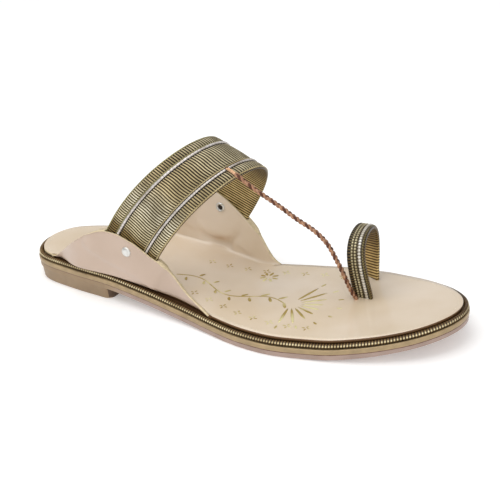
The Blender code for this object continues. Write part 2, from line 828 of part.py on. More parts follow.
def make_shoe():
    antique_gold = material("antique_gold_ribs", (0.48, 0.39, 0.21), 0.35, 0.8)
    silver = material("silver_rivet", (0.75, 0.76, 0.74), 0.25, 1.0)
    make_outsole(material("nude_rubber", (0.42, 0.28, 0.22), 0.6))
    make_midsole(material("gold_rand", (0.47, 0.35, 0.2), 0.35, 0.6))
    make_board(material("brown_board", (0.08, 0.04, 0.02), 0.7))
    make_piping(antique_gold)
    leather = make_leather(material("nude_leather", (0.62, 0.46, 0.36), 0.3))
    band = make_band(antique_gold)
    make_loop(antique_gold)
    make_thong(material("copper_braid", (0.42, 0.2, 0.11), 0.4, 0.7))
    make_rivet("rivet_lateral", WINGS[LATERAL], silver)
    make_rivet("rivet_medial", WINGS[MEDIAL], silver)

    rivet_holes = [
        rivet_cutter("lateral_rivet_hole", WINGS[LATERAL]),
        rivet_cutter("medial_rivet_hole", WINGS[MEDIAL]),
    ]
    leather_cuts = [
        pocket_cutter(WINGS[LATERAL], "lateral_pocket"),
        pocket_cutter(WINGS[MEDIAL], "medial_pocket"),
        loop_cutter("near_leg_slot", 0),
        loop_cutter("far_leg_slot", 1),
        thong_cutter("thong_hole"),
    ]
    cut(band, rivet_holes)
    cut(leather, leather_cuts + rivet_holes)


clear_scene()
place_shoe()
make_shoe()
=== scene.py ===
"""Looks of a toe-loop slipper for the right foot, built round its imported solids.

Sizes along the shoe are measured from the back of the heel, sizes across it from its long axis with the
medial side at +Y, and heights from the ground. SHIFT moves them to where the solids stand.
"""

import math
from collections import namedtuple

import bpy
import numpy as np
from bpy.props import FloatProperty, FloatVectorProperty, PointerProperty
from mathutils import Matrix, Vector


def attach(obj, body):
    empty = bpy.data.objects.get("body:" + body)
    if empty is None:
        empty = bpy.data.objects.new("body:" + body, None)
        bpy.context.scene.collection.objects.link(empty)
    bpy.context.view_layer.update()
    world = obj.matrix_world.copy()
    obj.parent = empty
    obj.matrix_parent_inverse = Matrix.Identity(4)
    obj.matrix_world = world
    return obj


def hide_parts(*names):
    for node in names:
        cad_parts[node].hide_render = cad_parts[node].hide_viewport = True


bl_info = {
    "name": "Toe-loop slipper",
    "version": (1, 0, 0),
    "blender": (4, 5, 0),
    "location": "View3D > Sidebar > Slipper",
    "description": "Makes the upper, the sole's trim, the print and the stage of a toe-loop slipper",
    "category": "Object",
}

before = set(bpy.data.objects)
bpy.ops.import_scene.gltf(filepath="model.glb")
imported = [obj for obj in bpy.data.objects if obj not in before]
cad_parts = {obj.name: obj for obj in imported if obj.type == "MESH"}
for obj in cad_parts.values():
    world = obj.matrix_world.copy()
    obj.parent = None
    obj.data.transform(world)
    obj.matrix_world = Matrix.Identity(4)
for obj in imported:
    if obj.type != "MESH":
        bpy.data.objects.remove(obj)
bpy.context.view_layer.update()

MM = 0.001
DEGREE = math.pi / 180
LATERAL, MEDIAL = -1, 1
TINY = 1e-4

# Sole
LENGTH = 250 * MM
SOLE_WIDTH = 93 * MM
TOE_SPRING = 10 * MM
HEEL_LIFT = 6.8 * MM
HEEL_LENGTH = 59 * MM
OUTSOLE = 2.8 * MM
MIDSOLE = 2.7 * MM
BEAD = 2.6 * MM
BEAD_SLANT = -22 * DEGREE
BEAD_INSET = 0.25 * MM
BOARD = 1.6 * MM
FIT_GAP = 0.3 * MM
SEAM = 0.7 * MM
SEAM_STEP = 1.5 * MM
BREAST_REACH = 3 * MM
# Least forward part of a face's normal on the heel's breast, whose faces get a painted shadow
BREAST_FACING = 0.7
# Length of the bead's turns against their spacing, and the cord's radius against the bead's thickness
BEAD_OVERLAP = 1.2
BEAD_CORE = 0.4
# Edges of the solids sharper than this stay sharp on their copies
SHARP_ANGLE = 40 * DEGREE

# Leather top
LEATHER = 1.8 * MM
BEND_WIDTH = 2.2 * MM
BEND_HEIGHT = 3 * MM
WING_UPRIGHT = 20 * MM
POCKET_WALL = 1.0 * MM
POCKET_MARGIN = 5 * MM
POCKET_FADE = 4 * MM
POCKET_CUT = 9 * MM
LATERAL_FOOT = 81.6 * MM
LATERAL_FOOT_HEIGHT = 25.4 * MM
LATERAL_LEAN = 1.0 * MM
LATERAL_WING_PEAK = 27.3 * MM
LATERAL_REAR_REACH = 63.6 * MM
LATERAL_FRONT_REACH = 48.4 * MM
LATERAL_TONGUE_REAR = 18 * MM
LATERAL_TONGUE_FRONT = 10.5 * MM
MEDIAL_FOOT = 103.4 * MM
MEDIAL_FOOT_HEIGHT = 33.7 * MM
MEDIAL_LEAN = 3.0 * MM
MEDIAL_WING_PEAK = 36.6 * MM
MEDIAL_REAR_REACH = 70 * MM
MEDIAL_FRONT_REACH = 31 * MM
MEDIAL_TONGUE_REAR = 26 * MM
MEDIAL_TONGUE_FRONT = 14 * MM

# Instep band
BAND_WIDTH = 32.1 * MM
BAND_WALL = 1.0 * MM
BAND_RELIEF = 0.6 * MM
BAND_RISE = 42.3 * MM
BAND_LEAN = 27.0 * MM
BAND_CROWN_DROP = 3.9 * MM
BAND_PITCH_LATERAL = 34.5 * DEGREE
BAND_PITCH_CROWN = 21.7 * DEGREE
BAND_PITCH_MEDIAL = 21.8 * DEGREE
BAND_YAW = 5.4 * DEGREE
BAND_TUCK = 8 * MM
SILVER_LINE_REAR = 6.9 * MM
SILVER_LINE_FRONT = 25.1 * MM

# Toe loop
LOOP_WIDTH = 10.7 * MM
LOOP_WALL = 1.6 * MM
LOOP_RELIEF = 0.6 * MM
LOOP_HEIGHT = 32.4 * MM
LOOP_LEAN = -2.4 * MM
LOOP_NEAR_ALONG = 190.8 * MM
LOOP_NEAR_ACROSS = 12.3 * MM
LOOP_FAR_ALONG = 184.2 * MM
LOOP_FAR_ACROSS = 36.1 * MM
LOOP_BULGE = 4.8 * MM
LOOP_PITCH = -9.8 * DEGREE
LOOP_YAW_NEAR = -5.0 * DEGREE
LOOP_YAW_FAR = -27.0 * DEGREE
LOOP_ROUNDNESS = 0.8

# Thong and rivets
THONG = 2.7 * MM
THONG_WRAP = 1.6 * MM
THONG_START = 0.445
THONG_BOW = 13.8 * MM
THONG_END_ALONG = 188.3 * MM
RIVET_DEPTH = 8.2 * MM
RIVET_HEAD = 5.5 * MM
RIVET_DOME = 1.1 * MM
RIVET_FLANGE = 0.7 * MM
RIVET_BORE = 2.8 * MM

# Lights
KEY_PLACE = (-0.25, -0.35, 1.2)
KEY_SIZE = 1.3
FILL_PLACE = (0.55, -0.85, 0.55)
FILL_SIZE = 0.8
RIM_PLACE = (0.1, 0.8, 0.9)
RIM_SIZE = 1.2

# Camera, as the photograph's own view of the shoe
IMAGE = 500
SENSOR = 36
FOCAL_PIXELS = 1499.4
VIEW_AZIMUTH = 31.98 * DEGREE
VIEW_ELEVATION = 24.77 * DEGREE
VIEW_ROLL = -3.45 * DEGREE
VIEW_DISTANCE = 781.8 * MM
VIEW_ASIDE = 5.7 * MM
VIEW_UP = 9.0 * MM
VIEW_HEIGHT = 20 * MM

# Share of the length, then the middle and the half width as shares of half the sole's width
OUTLINE = (
    (0.00, -0.02, 0.0),
    (0.04, -0.02, 0.43),
    (0.12, 0.016, 0.575),
    (0.20, 0.013, 0.62),
    (0.28, -0.026, 0.637),
    (0.36, -0.061, 0.653),
    (0.44, -0.075, 0.70),
    (0.52, -0.070, 0.796),
    (0.60, -0.048, 0.913),
    (0.68, 0.006, 0.978),
    (0.76, 0.067, 0.955),
    (0.84, 0.10, 0.85),
    (0.92, 0.112, 0.645),
    (0.96, 0.112, 0.465),
    (1.00, 0.112, 0.0),
)

# Share of the length, then the underside's height as shares of the heel lift and of the toe spring
UNDERSIDE = (
    (0.00, 1.0, 0.0),
    (0.24, 1.0, 0.0),
    (0.32, 0.80, 0.0),
    (0.42, 0.38, 0.0),
    (0.50, 0.10, 0.0),
    (0.56, 0.0, 0.0),
    (0.68, 0.0, 0.0),
    (0.78, 0.0, 0.08),
    (0.86, 0.0, 0.32),
    (0.93, 0.0, 0.62),
    (1.00, 0.0, 1.0),
)

# Share of the wing's reach behind (-) and before (+) the band's foot, then share of its peak height
LATERAL_WING = (
    (-1.20, 0.0),
    (-1.00, 0.0),
    (-0.81, 0.27),
    (-0.686, 0.50),
    (-0.575, 0.685),
    (-0.465, 0.84),
    (-0.28, 0.99),
    (-0.20, 1.0),
    (0.0, 0.90),
    (0.186, 0.75),
    (0.316, 0.66),
    (0.46, 0.487),
    (0.638, 0.23),
    (0.79, 0.11),
    (1.0, 0.0),
    (1.2, 0.0),
)
MEDIAL_WING = (
    (-1.20, 0.0),
    (-1.00, 0.0),
    (-0.834, 0.20),
    (-0.677, 0.46),
    (-0.506, 0.76),
    (-0.363, 0.93),
    (-0.22, 1.0),
    (-0.08, 0.953),
    (0.0, 0.885),
    (0.165, 0.79),
    (0.335, 0.678),
    (0.503, 0.544),
    (0.635, 0.388),
    (0.748, 0.21),
    (0.829, 0.098),
    (1.0, 0.0),
    (1.2, 0.0),
)

# Share along the thong's chord, share across to its end, and share of its bow above the chord
THONG_ROUTE = (
    (0.09, 0.09, 0.10),
    (0.18, 0.19, 0.22),
    (0.35, 0.39, 0.49),
    (0.50, 0.56, 0.69),
    (0.65, 0.72, 0.95),
    (0.76, 0.79, 1.0),
    (0.845, 0.82, 0.78),
    (0.89, 0.84, 0.62),
    (0.94, 0.87, 0.36),
    (0.98, 0.94, 0.12),
)

# Heights of the layers above the underside
SEAM_HEIGHT = OUTSOLE + FIT_GAP / 2
BOARD_LOW = OUTSOLE + FIT_GAP + MIDSOLE + FIT_GAP
LEATHER_LOW = BOARD_LOW + BOARD + FIT_GAP
LEATHER_TOP = LEATHER_LOW + LEATHER
LEATHER_INSET = BEAD_INSET + BEAD + FIT_GAP

BAND_THICKNESS = BAND_WALL + BAND_RELIEF
POCKET_THICKNESS = BAND_THICKNESS + 2 * (FIT_GAP + POCKET_WALL)
LOOP_THICKNESS = LOOP_WALL + LOOP_RELIEF
THONG_END_ACROSS = LOOP_NEAR_ACROSS - LOOP_THICKNESS / 2 - FIT_GAP - THONG / 2


# Shape of the shoe

def column(table, index):
    return [row[index] for row in table]


def curve(places, values):
    """Smooth curve through a table's values that never overshoots them."""
    x = np.array(places, float)
    y = np.array(values, float)
    step = np.diff(x)
    rise = np.diff(y) / step
    slope = np.zeros_like(y)
    slope[0], slope[-1] = rise[0], rise[-1]
    for i in range(1, len(x) - 1):
        if rise[i - 1] * rise[i] > 0:
            slope[i] = 2 * rise[i - 1] * rise[i] / (rise[i - 1] + rise[i])

    def value(at):
        i = np.clip(np.searchsorted(x, at) - 1, 0, len(step) - 1)
        s = np.clip((at - x[i]) / step[i], 0, 1)
        start = y[i] * (1 + 2 * s) * (1 - s) ** 2 + slope[i] * step[i] * s * (1 - s) ** 2
        return start + y[i + 1] * s * s * (3 - 2 * s) - slope[i + 1] * step[i] * s * s * (1 - s)
    return value


def soft_step(x):
    x = np.clip(x, 0, 1)
    return x * x * (3 - 2 * x)


def blend(start, end, share):
    return start + (end - start) * share


def unit(vector):
    return vector / np.linalg.norm(vector, axis=-1, keepdims=True)


def spot(x, y, z):
    """Points from coordinates that may be numbers or arrays."""
    return np.stack(np.broadcast_arrays(x, y, z), axis=-1)


def lengths(points):
    """Length along a line of points at each of them."""
    return np.concatenate(([0.0], np.cumsum(np.linalg.norm(np.diff(points, axis=0), axis=1))))


# The outline is read against an angle that turns evenly from heel to toe, so both ends come out round
TURNS = [math.acos(1 - 2 * share) / math.pi for share in column(OUTLINE, 0)]
middle_share = curve(TURNS, column(OUTLINE, 1))
width_share = curve(TURNS, column(OUTLINE, 2))
heel_share = curve(column(UNDERSIDE, 0), column(UNDERSIDE, 1))
toe_share = curve(column(UNDERSIDE, 0), column(UNDERSIDE, 2))


def ground(x):
    """Height of the sole's underside above the floor, apart from the heel block."""
    return HEEL_LIFT * heel_share(x / LENGTH) + TOE_SPRING * toe_share(x / LENGTH)


def rim(u, side):
    """Point of the sole's outer edge at a turn u from 0 at the heel to 1 at the toe."""
    x = LENGTH * (1 - np.cos(np.pi * u)) / 2
    y = SOLE_WIDTH / 2 * (middle_share(u) + side * width_share(u))
    return np.stack((x, y), axis=-1)


def edge(u, side, inset):
    """Point of the edge moved inwards, square to the outline."""
    along = unit(rim(np.minimum(u + TINY, 1), side) - rim(np.maximum(u - TINY, 0), side))
    return rim(u, side) + side * inset * np.stack((along[..., 1], -along[..., 0]), axis=-1)


def turn_at(x):
    return np.arccos(1 - 2 * x / LENGTH) / np.pi


def half_span(side, foot, lean):
    """Distance from the shoe's axis to a wing's upright at the band's foot."""
    return side * edge(turn_at(foot), side, LEATHER_INSET)[1] + lean


Wing = namedtuple("Wing", "side foot foot_height half_span peak rear front shape tongue_rear tongue_front")
WINGS = {
    LATERAL: Wing(LATERAL, LATERAL_FOOT, LATERAL_FOOT_HEIGHT,
                  half_span(LATERAL, LATERAL_FOOT, LATERAL_LEAN), LATERAL_WING_PEAK, LATERAL_REAR_REACH,
                  LATERAL_FRONT_REACH, curve(*np.array(LATERAL_WING).T), LATERAL_TONGUE_REAR,
                  LATERAL_TONGUE_FRONT),
    MEDIAL: Wing(MEDIAL, MEDIAL_FOOT, MEDIAL_FOOT_HEIGHT,
                 half_span(MEDIAL, MEDIAL_FOOT, MEDIAL_LEAN), MEDIAL_WING_PEAK, MEDIAL_REAR_REACH,
                 MEDIAL_FRONT_REACH, curve(*np.array(MEDIAL_WING).T), MEDIAL_TONGUE_REAR,
                 MEDIAL_TONGUE_FRONT),
}

ROUND = np.linspace(0, 1, 401)
SIDES_ACROSS = np.concatenate((rim(ROUND, LATERAL)[:, 1], rim(ROUND, MEDIAL)[:, 1]))
SHIFT = np.array((-LENGTH / 2, -(SIDES_ACROSS.max() + SIDES_ACROSS.min()) / 2, 0))


def wing_height(wing, x):
    """Height of the wing's free edge above the leather's middle."""
    offset = x - wing.foot
    return wing.peak * wing.shape(np.where(offset < 0, offset / wing.rear, offset / wing.front))


def band_up():
    """Direction in which the band leaves both wings."""
    return unit(np.array((BAND_LEAN, 0, BAND_RISE)))


def band_foot(wing):
    """Middle of the band where it starts to arch over from a wing."""
    return np.array((wing.foot, wing.side * wing.half_span,
                     ground(wing.foot) + LEATHER_TOP + wing.foot_height))


def band_ruling(t):
    """Direction across the band from its rear to its front edge, t from 0 lateral to 1 medial."""
    pitch = (BAND_PITCH_LATERAL * (1 - t) * (1 - 2 * t) + BAND_PITCH_CROWN * 4 * t * (1 - t)
             + BAND_PITCH_MEDIAL * t * (2 * t - 1))
    yaw = BAND_YAW * np.sin(np.pi * t)
    return unit(spot(np.cos(pitch), -np.sin(yaw), -np.sin(pitch)))


def band_middle(t):
    angle = np.pi * np.asarray(t, float)[..., None]
    start, end = band_foot(WINGS[LATERAL]), band_foot(WINGS[MEDIAL])
    rise = np.array((BAND_LEAN, 0, BAND_RISE)) * np.sin(angle)
    drop = np.array((0, 0, BAND_CROWN_DROP)) * np.sin(angle) ** 2
    return (start + end) / 2 - (end - start) / 2 * np.cos(angle) + rise - drop


STRIP_TURNS = np.linspace(0, 1, 801)
BAND_PLACES = lengths(band_middle(STRIP_TURNS))
BAND_ARC = BAND_PLACES[-1]


def strip_point(middle, ruling, places, rise, place, across, out):
    """Point of a strip at a length along its middle line; past both ends it runs straight against rise."""
    place, across, out = np.broadcast_arrays(place, across, out)
    t = np.interp(place, places, STRIP_TURNS)
    down = np.maximum(np.maximum(-place, place - places[-1]), 0)
    way = middle(np.minimum(t + TINY, 1)) - middle(np.maximum(t - TINY, 0))
    normal = unit(np.cross(ruling(t), way))
    return (middle(t) + ruling(t) * across[..., None] + normal * out[..., None]
            - rise * down[..., None])


def band_point(place, across, out):
    return strip_point(band_middle, band_ruling, BAND_PLACES, band_up(), place, across, out)


def band_end(wing):
    """Length along the band at which it enters a wing."""
    return 0.0 if wing.side == LATERAL else BAND_ARC


def tongue_depth(wing, across):
    """Length of the band's end inside the wing, from the band's foot line."""
    return blend(wing.tongue_rear, wing.tongue_front, across / BAND_WIDTH + 0.5)


def on_tongue(wing, x, z):
    """A place on the wing, measured across the band's tucked end and down from the band's foot."""
    foot = band_foot(wing)
    offset = spot(x - foot[0], 0, z - foot[2])
    across = offset @ band_ruling(np.array(band_end(wing) / BAND_ARC))
    return across, -offset @ band_up()


def pocket_distance(wing, x, z):
    """Distance of a place on the wing from the wing's pocket."""
    across, down = on_tongue(wing, x, z)
    inside = np.clip(across, -BAND_WIDTH / 2, BAND_WIDTH / 2)
    beside = np.maximum(np.abs(across) - BAND_WIDTH / 2 - POCKET_MARGIN, 0)
    below = np.maximum(down - tongue_depth(wing, inside) - POCKET_MARGIN, 0)
    return np.hypot(beside, below)


def loop_ruling(t):
    yaw = blend(LOOP_YAW_NEAR, LOOP_YAW_FAR, t)
    return spot(math.cos(LOOP_PITCH) * np.cos(yaw), math.cos(LOOP_PITCH) * np.sin(yaw),
                -math.sin(LOOP_PITCH))


def loop_middle(t):
    """Middle line of the toe loop, t from 0 between the toes to 1 at the far leg."""
    angle = np.pi * np.asarray(t, float)[..., None]
    start = spot(LOOP_NEAR_ALONG, LOOP_NEAR_ACROSS, ground(LOOP_NEAR_ALONG) + LEATHER_TOP)
    end = spot(LOOP_FAR_ALONG, LOOP_FAR_ACROSS, ground(LOOP_FAR_ALONG) + LEATHER_TOP)
    aside = np.sign(np.cos(angle)) * np.abs(np.cos(angle)) ** LOOP_ROUNDNESS
    up = np.maximum(np.sin(angle), 0) ** LOOP_ROUNDNESS
    rise = np.array((LOOP_LEAN, 0, LOOP_HEIGHT)) * up
    bulge = np.array((0, LOOP_BULGE, 0)) * np.sin(2 * angle)
    return (start + end) / 2 - (end - start) / 2 * aside + rise - bulge


LOOP_PLACES = lengths(loop_middle(STRIP_TURNS))
LOOP_ARC = LOOP_PLACES[-1]


def loop_point(place, across, out):
    return strip_point(loop_middle, loop_ruling, LOOP_PLACES, np.array((0, 0, 1)), place, across, out)


def thong_line(spacing):
    """Evenly spaced points of the thong's middle, and the length of its stretch on the band."""
    lift = BAND_THICKNESS / 2 + THONG_WRAP / 2
    start_place = np.interp(THONG_START, STRIP_TURNS, BAND_PLACES)
    across = np.linspace(SILVER_LINE_FRONT - BAND_WIDTH / 2, BAND_WIDTH / 2, 5)
    over = band_point(start_place, across, lift)
    start = over[-1]
    end = spot(THONG_END_ALONG, THONG_END_ACROSS, ground(THONG_END_ALONG) + LEATHER_TOP)
    along, aside, bow = np.array(THONG_ROUTE).T[..., None]
    route = blend(start, end, along)
    route[:, 1] = blend(start[1], end[1], aside[:, 0])
    route[:, 2] += THONG_BOW * bow[:, 0]
    points = np.concatenate((over, route, [end, end - (0, 0, LEATHER)]))
    places = lengths(points)
    at = np.arange(0, places[-1], spacing)
    line = np.stack([curve(places, points[:, axis])(at) for axis in range(3)], axis=-1)
    return line, at, places[len(over) - 1]


Path = namedtuple("Path", "points along aside up")


def sole_path(inset, height, pitch):
    """Evenly spaced frames once round the sole, aside pointing outwards."""
    loop = np.concatenate((edge(ROUND, LATERAL, inset), edge(ROUND[::-1], MEDIAL, inset)))
    places = lengths(loop)
    at = np.linspace(0, places[-1], round(places[-1] / pitch), endpoint=False)
    x, y = np.interp(at, places, loop[:, 0]), np.interp(at, places, loop[:, 1])
    points = spot(x, y, ground(x) + height)
    along = unit(np.roll(points, -1, axis=0) - np.roll(points, 1, axis=0))
    aside = unit(np.cross(along, (0, 0, 1)))
    return Path(points, along, aside, np.cross(aside, along))


def strip_path(point, start, end, across, out, pitch):
    """Evenly spaced frames along the band or the toe loop, up pointing out of its face."""
    place = np.linspace(start, end, round((end - start) / pitch) + 1)
    points = point(place, across, out)
    along = unit(np.gradient(points, axis=0))
    up = point(place, across, out + MM) - points
    up = unit(up - along * np.sum(up * along, axis=1)[:, None])
    return Path(points, along, np.cross(up, along), up)


def line_path(line):
    """Frames along a line of points that runs mostly along the shoe."""
    along = unit(np.gradient(line, axis=0))
    aside = unit(np.array((0, 1, 0)) - along * along[:, 1:2])
    return Path(line, along, aside, np.cross(along, aside))


# Tools for meshes

def only(piece):
    """Selects one object and nothing else."""
    bpy.ops.object.select_all(action='DESELECT')
    piece.select_set(True)
    bpy.context.view_layer.objects.active = piece


def in_edit_mode(piece, *steps):
    """Runs operators on all of a piece's mesh; each step is an operator and its settings."""
    only(piece)
    bpy.ops.object.mode_set(mode='EDIT')
    for operator, settings in steps:
        bpy.ops.mesh.select_all(action='SELECT')
        operator(**settings)
    bpy.ops.object.mode_set(mode='OBJECT')


def skin(name, points, slots=None, closed=False):
    """Surface through rows of points, laid over a grid primitive whose UV map runs along the rows.

    Slots give each face's material, by row and column. A closed surface is merged at its seam and gets
    its ends filled.
    """
    rows, columns = points.shape[:2]
    bpy.ops.object.select_all(action='DESELECT')
    bpy.ops.mesh.primitive_grid_add(x_subdivisions=columns - 1, y_subdivisions=rows - 1, size=1)
    piece = bpy.context.active_object
    piece.name = name
    piece.data.name = name
    piece.data.vertices.foreach_set("co", (points + SHIFT).astype(np.float32).ravel())
    if slots is not None:
        indexes = np.broadcast_to(slots, (rows - 1, columns - 1)).astype(np.int32)
        piece.data.polygons.foreach_set("material_index", indexes.ravel())
    if closed:
        in_edit_mode(
            piece,
            (bpy.ops.mesh.remove_doubles, {"threshold": 0.002 * MM}),
            (bpy.ops.mesh.dissolve_degenerate, {"threshold": 0.01 * MM}),
            (bpy.ops.mesh.fill_holes, {"sides": 0}),
            (bpy.ops.mesh.normals_make_consistent, {"inside": False}),
        )
    only(piece)
    bpy.ops.object.shade_smooth()
    return piece


def cord(name, path, radius, sides=8, ring=False):
    """Round cord along a path; a ring meets its own start."""
    angle = np.linspace(0, 2 * np.pi, sides + 1)[:, None]
    around = path.aside[:, None] * np.cos(angle) + path.up[:, None] * np.sin(angle)
    rows = path.points[:, None] + around * np.broadcast_to(radius, len(path.points))[:, None, None]
    if ring:
        rows = np.concatenate((rows, rows[:1]))
    return skin(name, rows, closed=True)


def spread(name, pattern, path):
    """One mesh with a copy of the pattern at each frame of a path; the pattern object is used up."""
    source = pattern.data
    count, copies = len(source.vertices), len(path.points)
    shape = np.zeros(count * 3, np.float32)
    source.vertices.foreach_get("co", shape)
    shape = shape.reshape(-1, 3)
    axes = np.stack((path.along, path.aside, path.up), axis=1)
    placed = (path.points + SHIFT)[:, None] + np.einsum("vk,nkc->nvc", shape, axes)
    faces = [list(face.vertices) for face in source.polygons]
    every = [[index + copy * count for index in face] for copy in range(copies) for face in faces]
    corners = np.zeros(len(source.loops) * 2, np.float32)
    source.uv_layers[0].data.foreach_get("uv", corners)
    mesh = bpy.data.meshes.new(name)
    mesh.from_pydata(placed.reshape(-1, 3), [], every)
    mesh.uv_layers.new(name="UVMap").data.foreach_set("uv", np.tile(corners, copies))
    piece = bpy.data.objects.new(name, mesh)
    bpy.context.collection.objects.link(piece)
    bpy.data.objects.remove(pattern)
    only(piece)
    bpy.ops.object.shade_smooth()
    return piece


def turn_of(length, width, height, segments=8, rings=6):
    """One turn of thread as a rounded bead with its poles along X, to be spread along a path."""
    bpy.ops.object.select_all(action='DESELECT')
    bpy.ops.mesh.primitive_uv_sphere_add(segments=segments, ring_count=rings, radius=0.5)
    bead = bpy.context.active_object
    quarter = {"value": math.pi / 2, "orient_axis": 'Y', "center_override": (0, 0, 0)}
    in_edit_mode(
        bead,
        (bpy.ops.transform.rotate, quarter),
        (bpy.ops.transform.resize, {"value": (length, width, height), "center_override": (0, 0, 0)}),
    )
    return bead


def copy_of_node(name, node):
    """Smoothed copy of a solid: its loose triangles are merged and its sharp edges kept."""
    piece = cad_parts[node].copy()
    piece.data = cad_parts[node].data.copy()
    piece.name = name
    piece.parent = None
    for key in list(piece.keys()):
        if key.startswith("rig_"):
            del piece[key]
    bpy.context.collection.objects.link(piece)
    piece.data.materials.clear()
    in_edit_mode(
        piece,
        (bpy.ops.mesh.remove_doubles, {"threshold": 0.002 * MM}),
        (bpy.ops.mesh.customdata_custom_splitnormals_clear, {}),
    )
    only(piece)
    bpy.ops.object.shade_smooth_by_angle(angle=SHARP_ANGLE)
    return piece


def settle(piece, node, slot, *materials):
    """Gives a piece its materials and puts it on the shoe, in place of a solid if one is named."""
    for material in materials:
        piece.data.materials.append(material)
    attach(piece, "root")
    if node:
        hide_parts(node)


# Tools for materials

def srgb(code):
    """Linear colour from an sRGB hex value."""
    parts = [int(code[i:i + 2], 16) / 255 for i in (1, 3, 5)]
    return tuple(c / 12.92 if c <= 0.04045 else ((c + 0.055) / 1.055) ** 2.4 for c in parts) + (1.0,)


def new_material(name, **sockets):
    """Principled material with its constant sockets set, and its node tree."""
    material = bpy.data.materials.new(name)
    material.use_nodes = True
    shader = material.node_tree.nodes["Principled BSDF"]
    for socket, value in sockets.items():
        shader.inputs[socket.replace("_", " ")].default_value = value
    return material, material.node_tree, shader


def add(tree, kind, links=None, stops=None, **settings):
    """Adds a node with its settings, its inputs (values or sockets) and a ramp's stops."""
    made = tree.nodes.new("ShaderNode" + kind)
    for name, value in settings.items():
        setattr(made, name, value)
    for name, value in (links or {}).items():
        if isinstance(value, bpy.types.NodeSocket):
            tree.links.new(value, made.inputs[name])
        else:
            made.inputs[name].default_value = value
    for index, (place, color) in enumerate(stops or ()):
        ramp = made.color_ramp.elements
        element = ramp[index] if index < 2 else ramp.new(place)
        element.position = place
        element.color = color if len(color) == 4 else (*color, 1)
    return made


def per(size):
    """Noise scale whose cells have a real size."""
    return 1 / size


def noise(tree, size, detail=2.0):
    place = add(tree, "TexCoord").outputs["Object"]
    return add(tree, "TexNoise", {"Vector": place, "Scale": per(size), "Detail": detail,
                                  "Roughness": 0.5}).outputs["Fac"]


def split(tree, coordinate):
    """The X, Y and Z of a texture coordinate."""
    return add(tree, "SeparateXYZ", {"Vector": add(tree, "TexCoord").outputs[coordinate]}).outputs


def mottle(tree, size, detail, *stops):
    """Blotches of a real size, coloured by stops over the noise's range."""
    return add(tree, "ValToRGB", {"Fac": noise(tree, size, detail)}, stops=stops).outputs["Color"]


def darker(code, share):
    return tuple(share * c for c in code[:3])


def mix(tree, share, first, second, mode='MIX'):
    return add(tree, "Mix", {"Factor": share, 6: first, 7: second}, data_type='RGBA',
               blend_type=mode).outputs[2]


def link(tree, source, shader, socket):
    tree.links.new(source, shader.inputs[socket])


def bump(tree, shader, height, depth):
    made = add(tree, "Bump", {"Height": height, "Distance": depth, "Strength": 1.0})
    link(tree, made.outputs["Normal"], shader, "Normal")


# Sizes and colours that a user would change

def color(name, code, words):
    return FloatVectorProperty(name=name, description=words, default=srgb(code)[:3], subtype='COLOR',
                               min=0, max=1)


def length(name, value, words):
    return FloatProperty(name=name, description=words, default=value, unit='LENGTH', min=0)


def power(name, value, words):
    return FloatProperty(name=name, description=words, default=value, unit='POWER', min=0)


class SlipperRibs(bpy.types.PropertyGroup):
    pitch: length("Rib spacing", 1.45 * MM, "Distance between two ribs of the band and the toe loop")
    depth: length("Rib depth", 0.32 * MM, "Depth of the grooves between ribs")
    wave: length("Rib wave", 0.25 * MM, "How far the ribs of the band's middle strip sway")
    bead_pitch: length("Bead spacing", 1.5 * MM, "Distance between two ribs of the sole's bead")
    # Rib tops and linings are painted highlight; the grooves' dark ground is deepened as painted shade.
    light: color("Rib tops", "#fcf5de", "Light metallic thread on top of the ribs")
    middle: color("Rib sides", "#a8986c", "Metallic thread on the sides of the ribs")
    dark: color("Grooves", "#1c150a", "Ground between the ribs")
    lining: color("Lining", "#fff4d2", "Yellower rib tops on the inner faces")
    lining_middle: color("Lining sides", "#b8a472", "Sides of the ribs on the inner faces")
    silver: color("Silver", "#e4dedc", "Silver thread of the lines and beads")
    # The bead's streaks are a painted highlight; its groove colour is the core's dark, also used as
    # painted shade where turns meet.
    bead: color("Bead", "#f2e2b4", "Bright streaks of the bead round the sole")
    bead_dull: color("Bead, dull side", "#7c6034", "Thread of the bead above and below the streaks")
    bead_dark: color("Bead grooves", "#3c2610", "Dark gaps between the bead's turns")


class SlipperLeather(bpy.types.PropertyGroup):
    footbed: color("Footbed", "#e8d8c4", "Glossy leather under the foot")
    shade: color("Footbed blotches", "#dcc8ac", "Slightly darker blotches of the footbed")
    # The wings' outer face is a pinker copy of the footbed leather, darkened as painted shade.
    wing: color("Wing", "#c4ad9b", "Pinker outer face of the wings")
    wing_shade: color("Wing blotches", "#b8a08c", "Slightly darker blotches of the wings")
    # The streak is partly glue and partly painted shade of the dent round the band's end.
    glue_and_shade_streak: color("Glue streak", "#b0885c", "Brown streak under the band's end on the medial wing")
    trim: color("Cut edge", "#ead6ae", "Cream cut edge of the wings")
    # The lower edge's dark brown is painted shade under the leather's bend.
    shaded_edge: color("Lower edge", "#6e4c28", "Dark brown lower edge above the bead")
    thread: color("Stitches", "#e6d8c0", "Waxed thread round the footbed")
    stitch: length("Stitch", 1.9 * MM, "Length of one stitch")
    stitch_pitch: length("Stitch spacing", 2.7 * MM, "Distance from stitch to stitch")


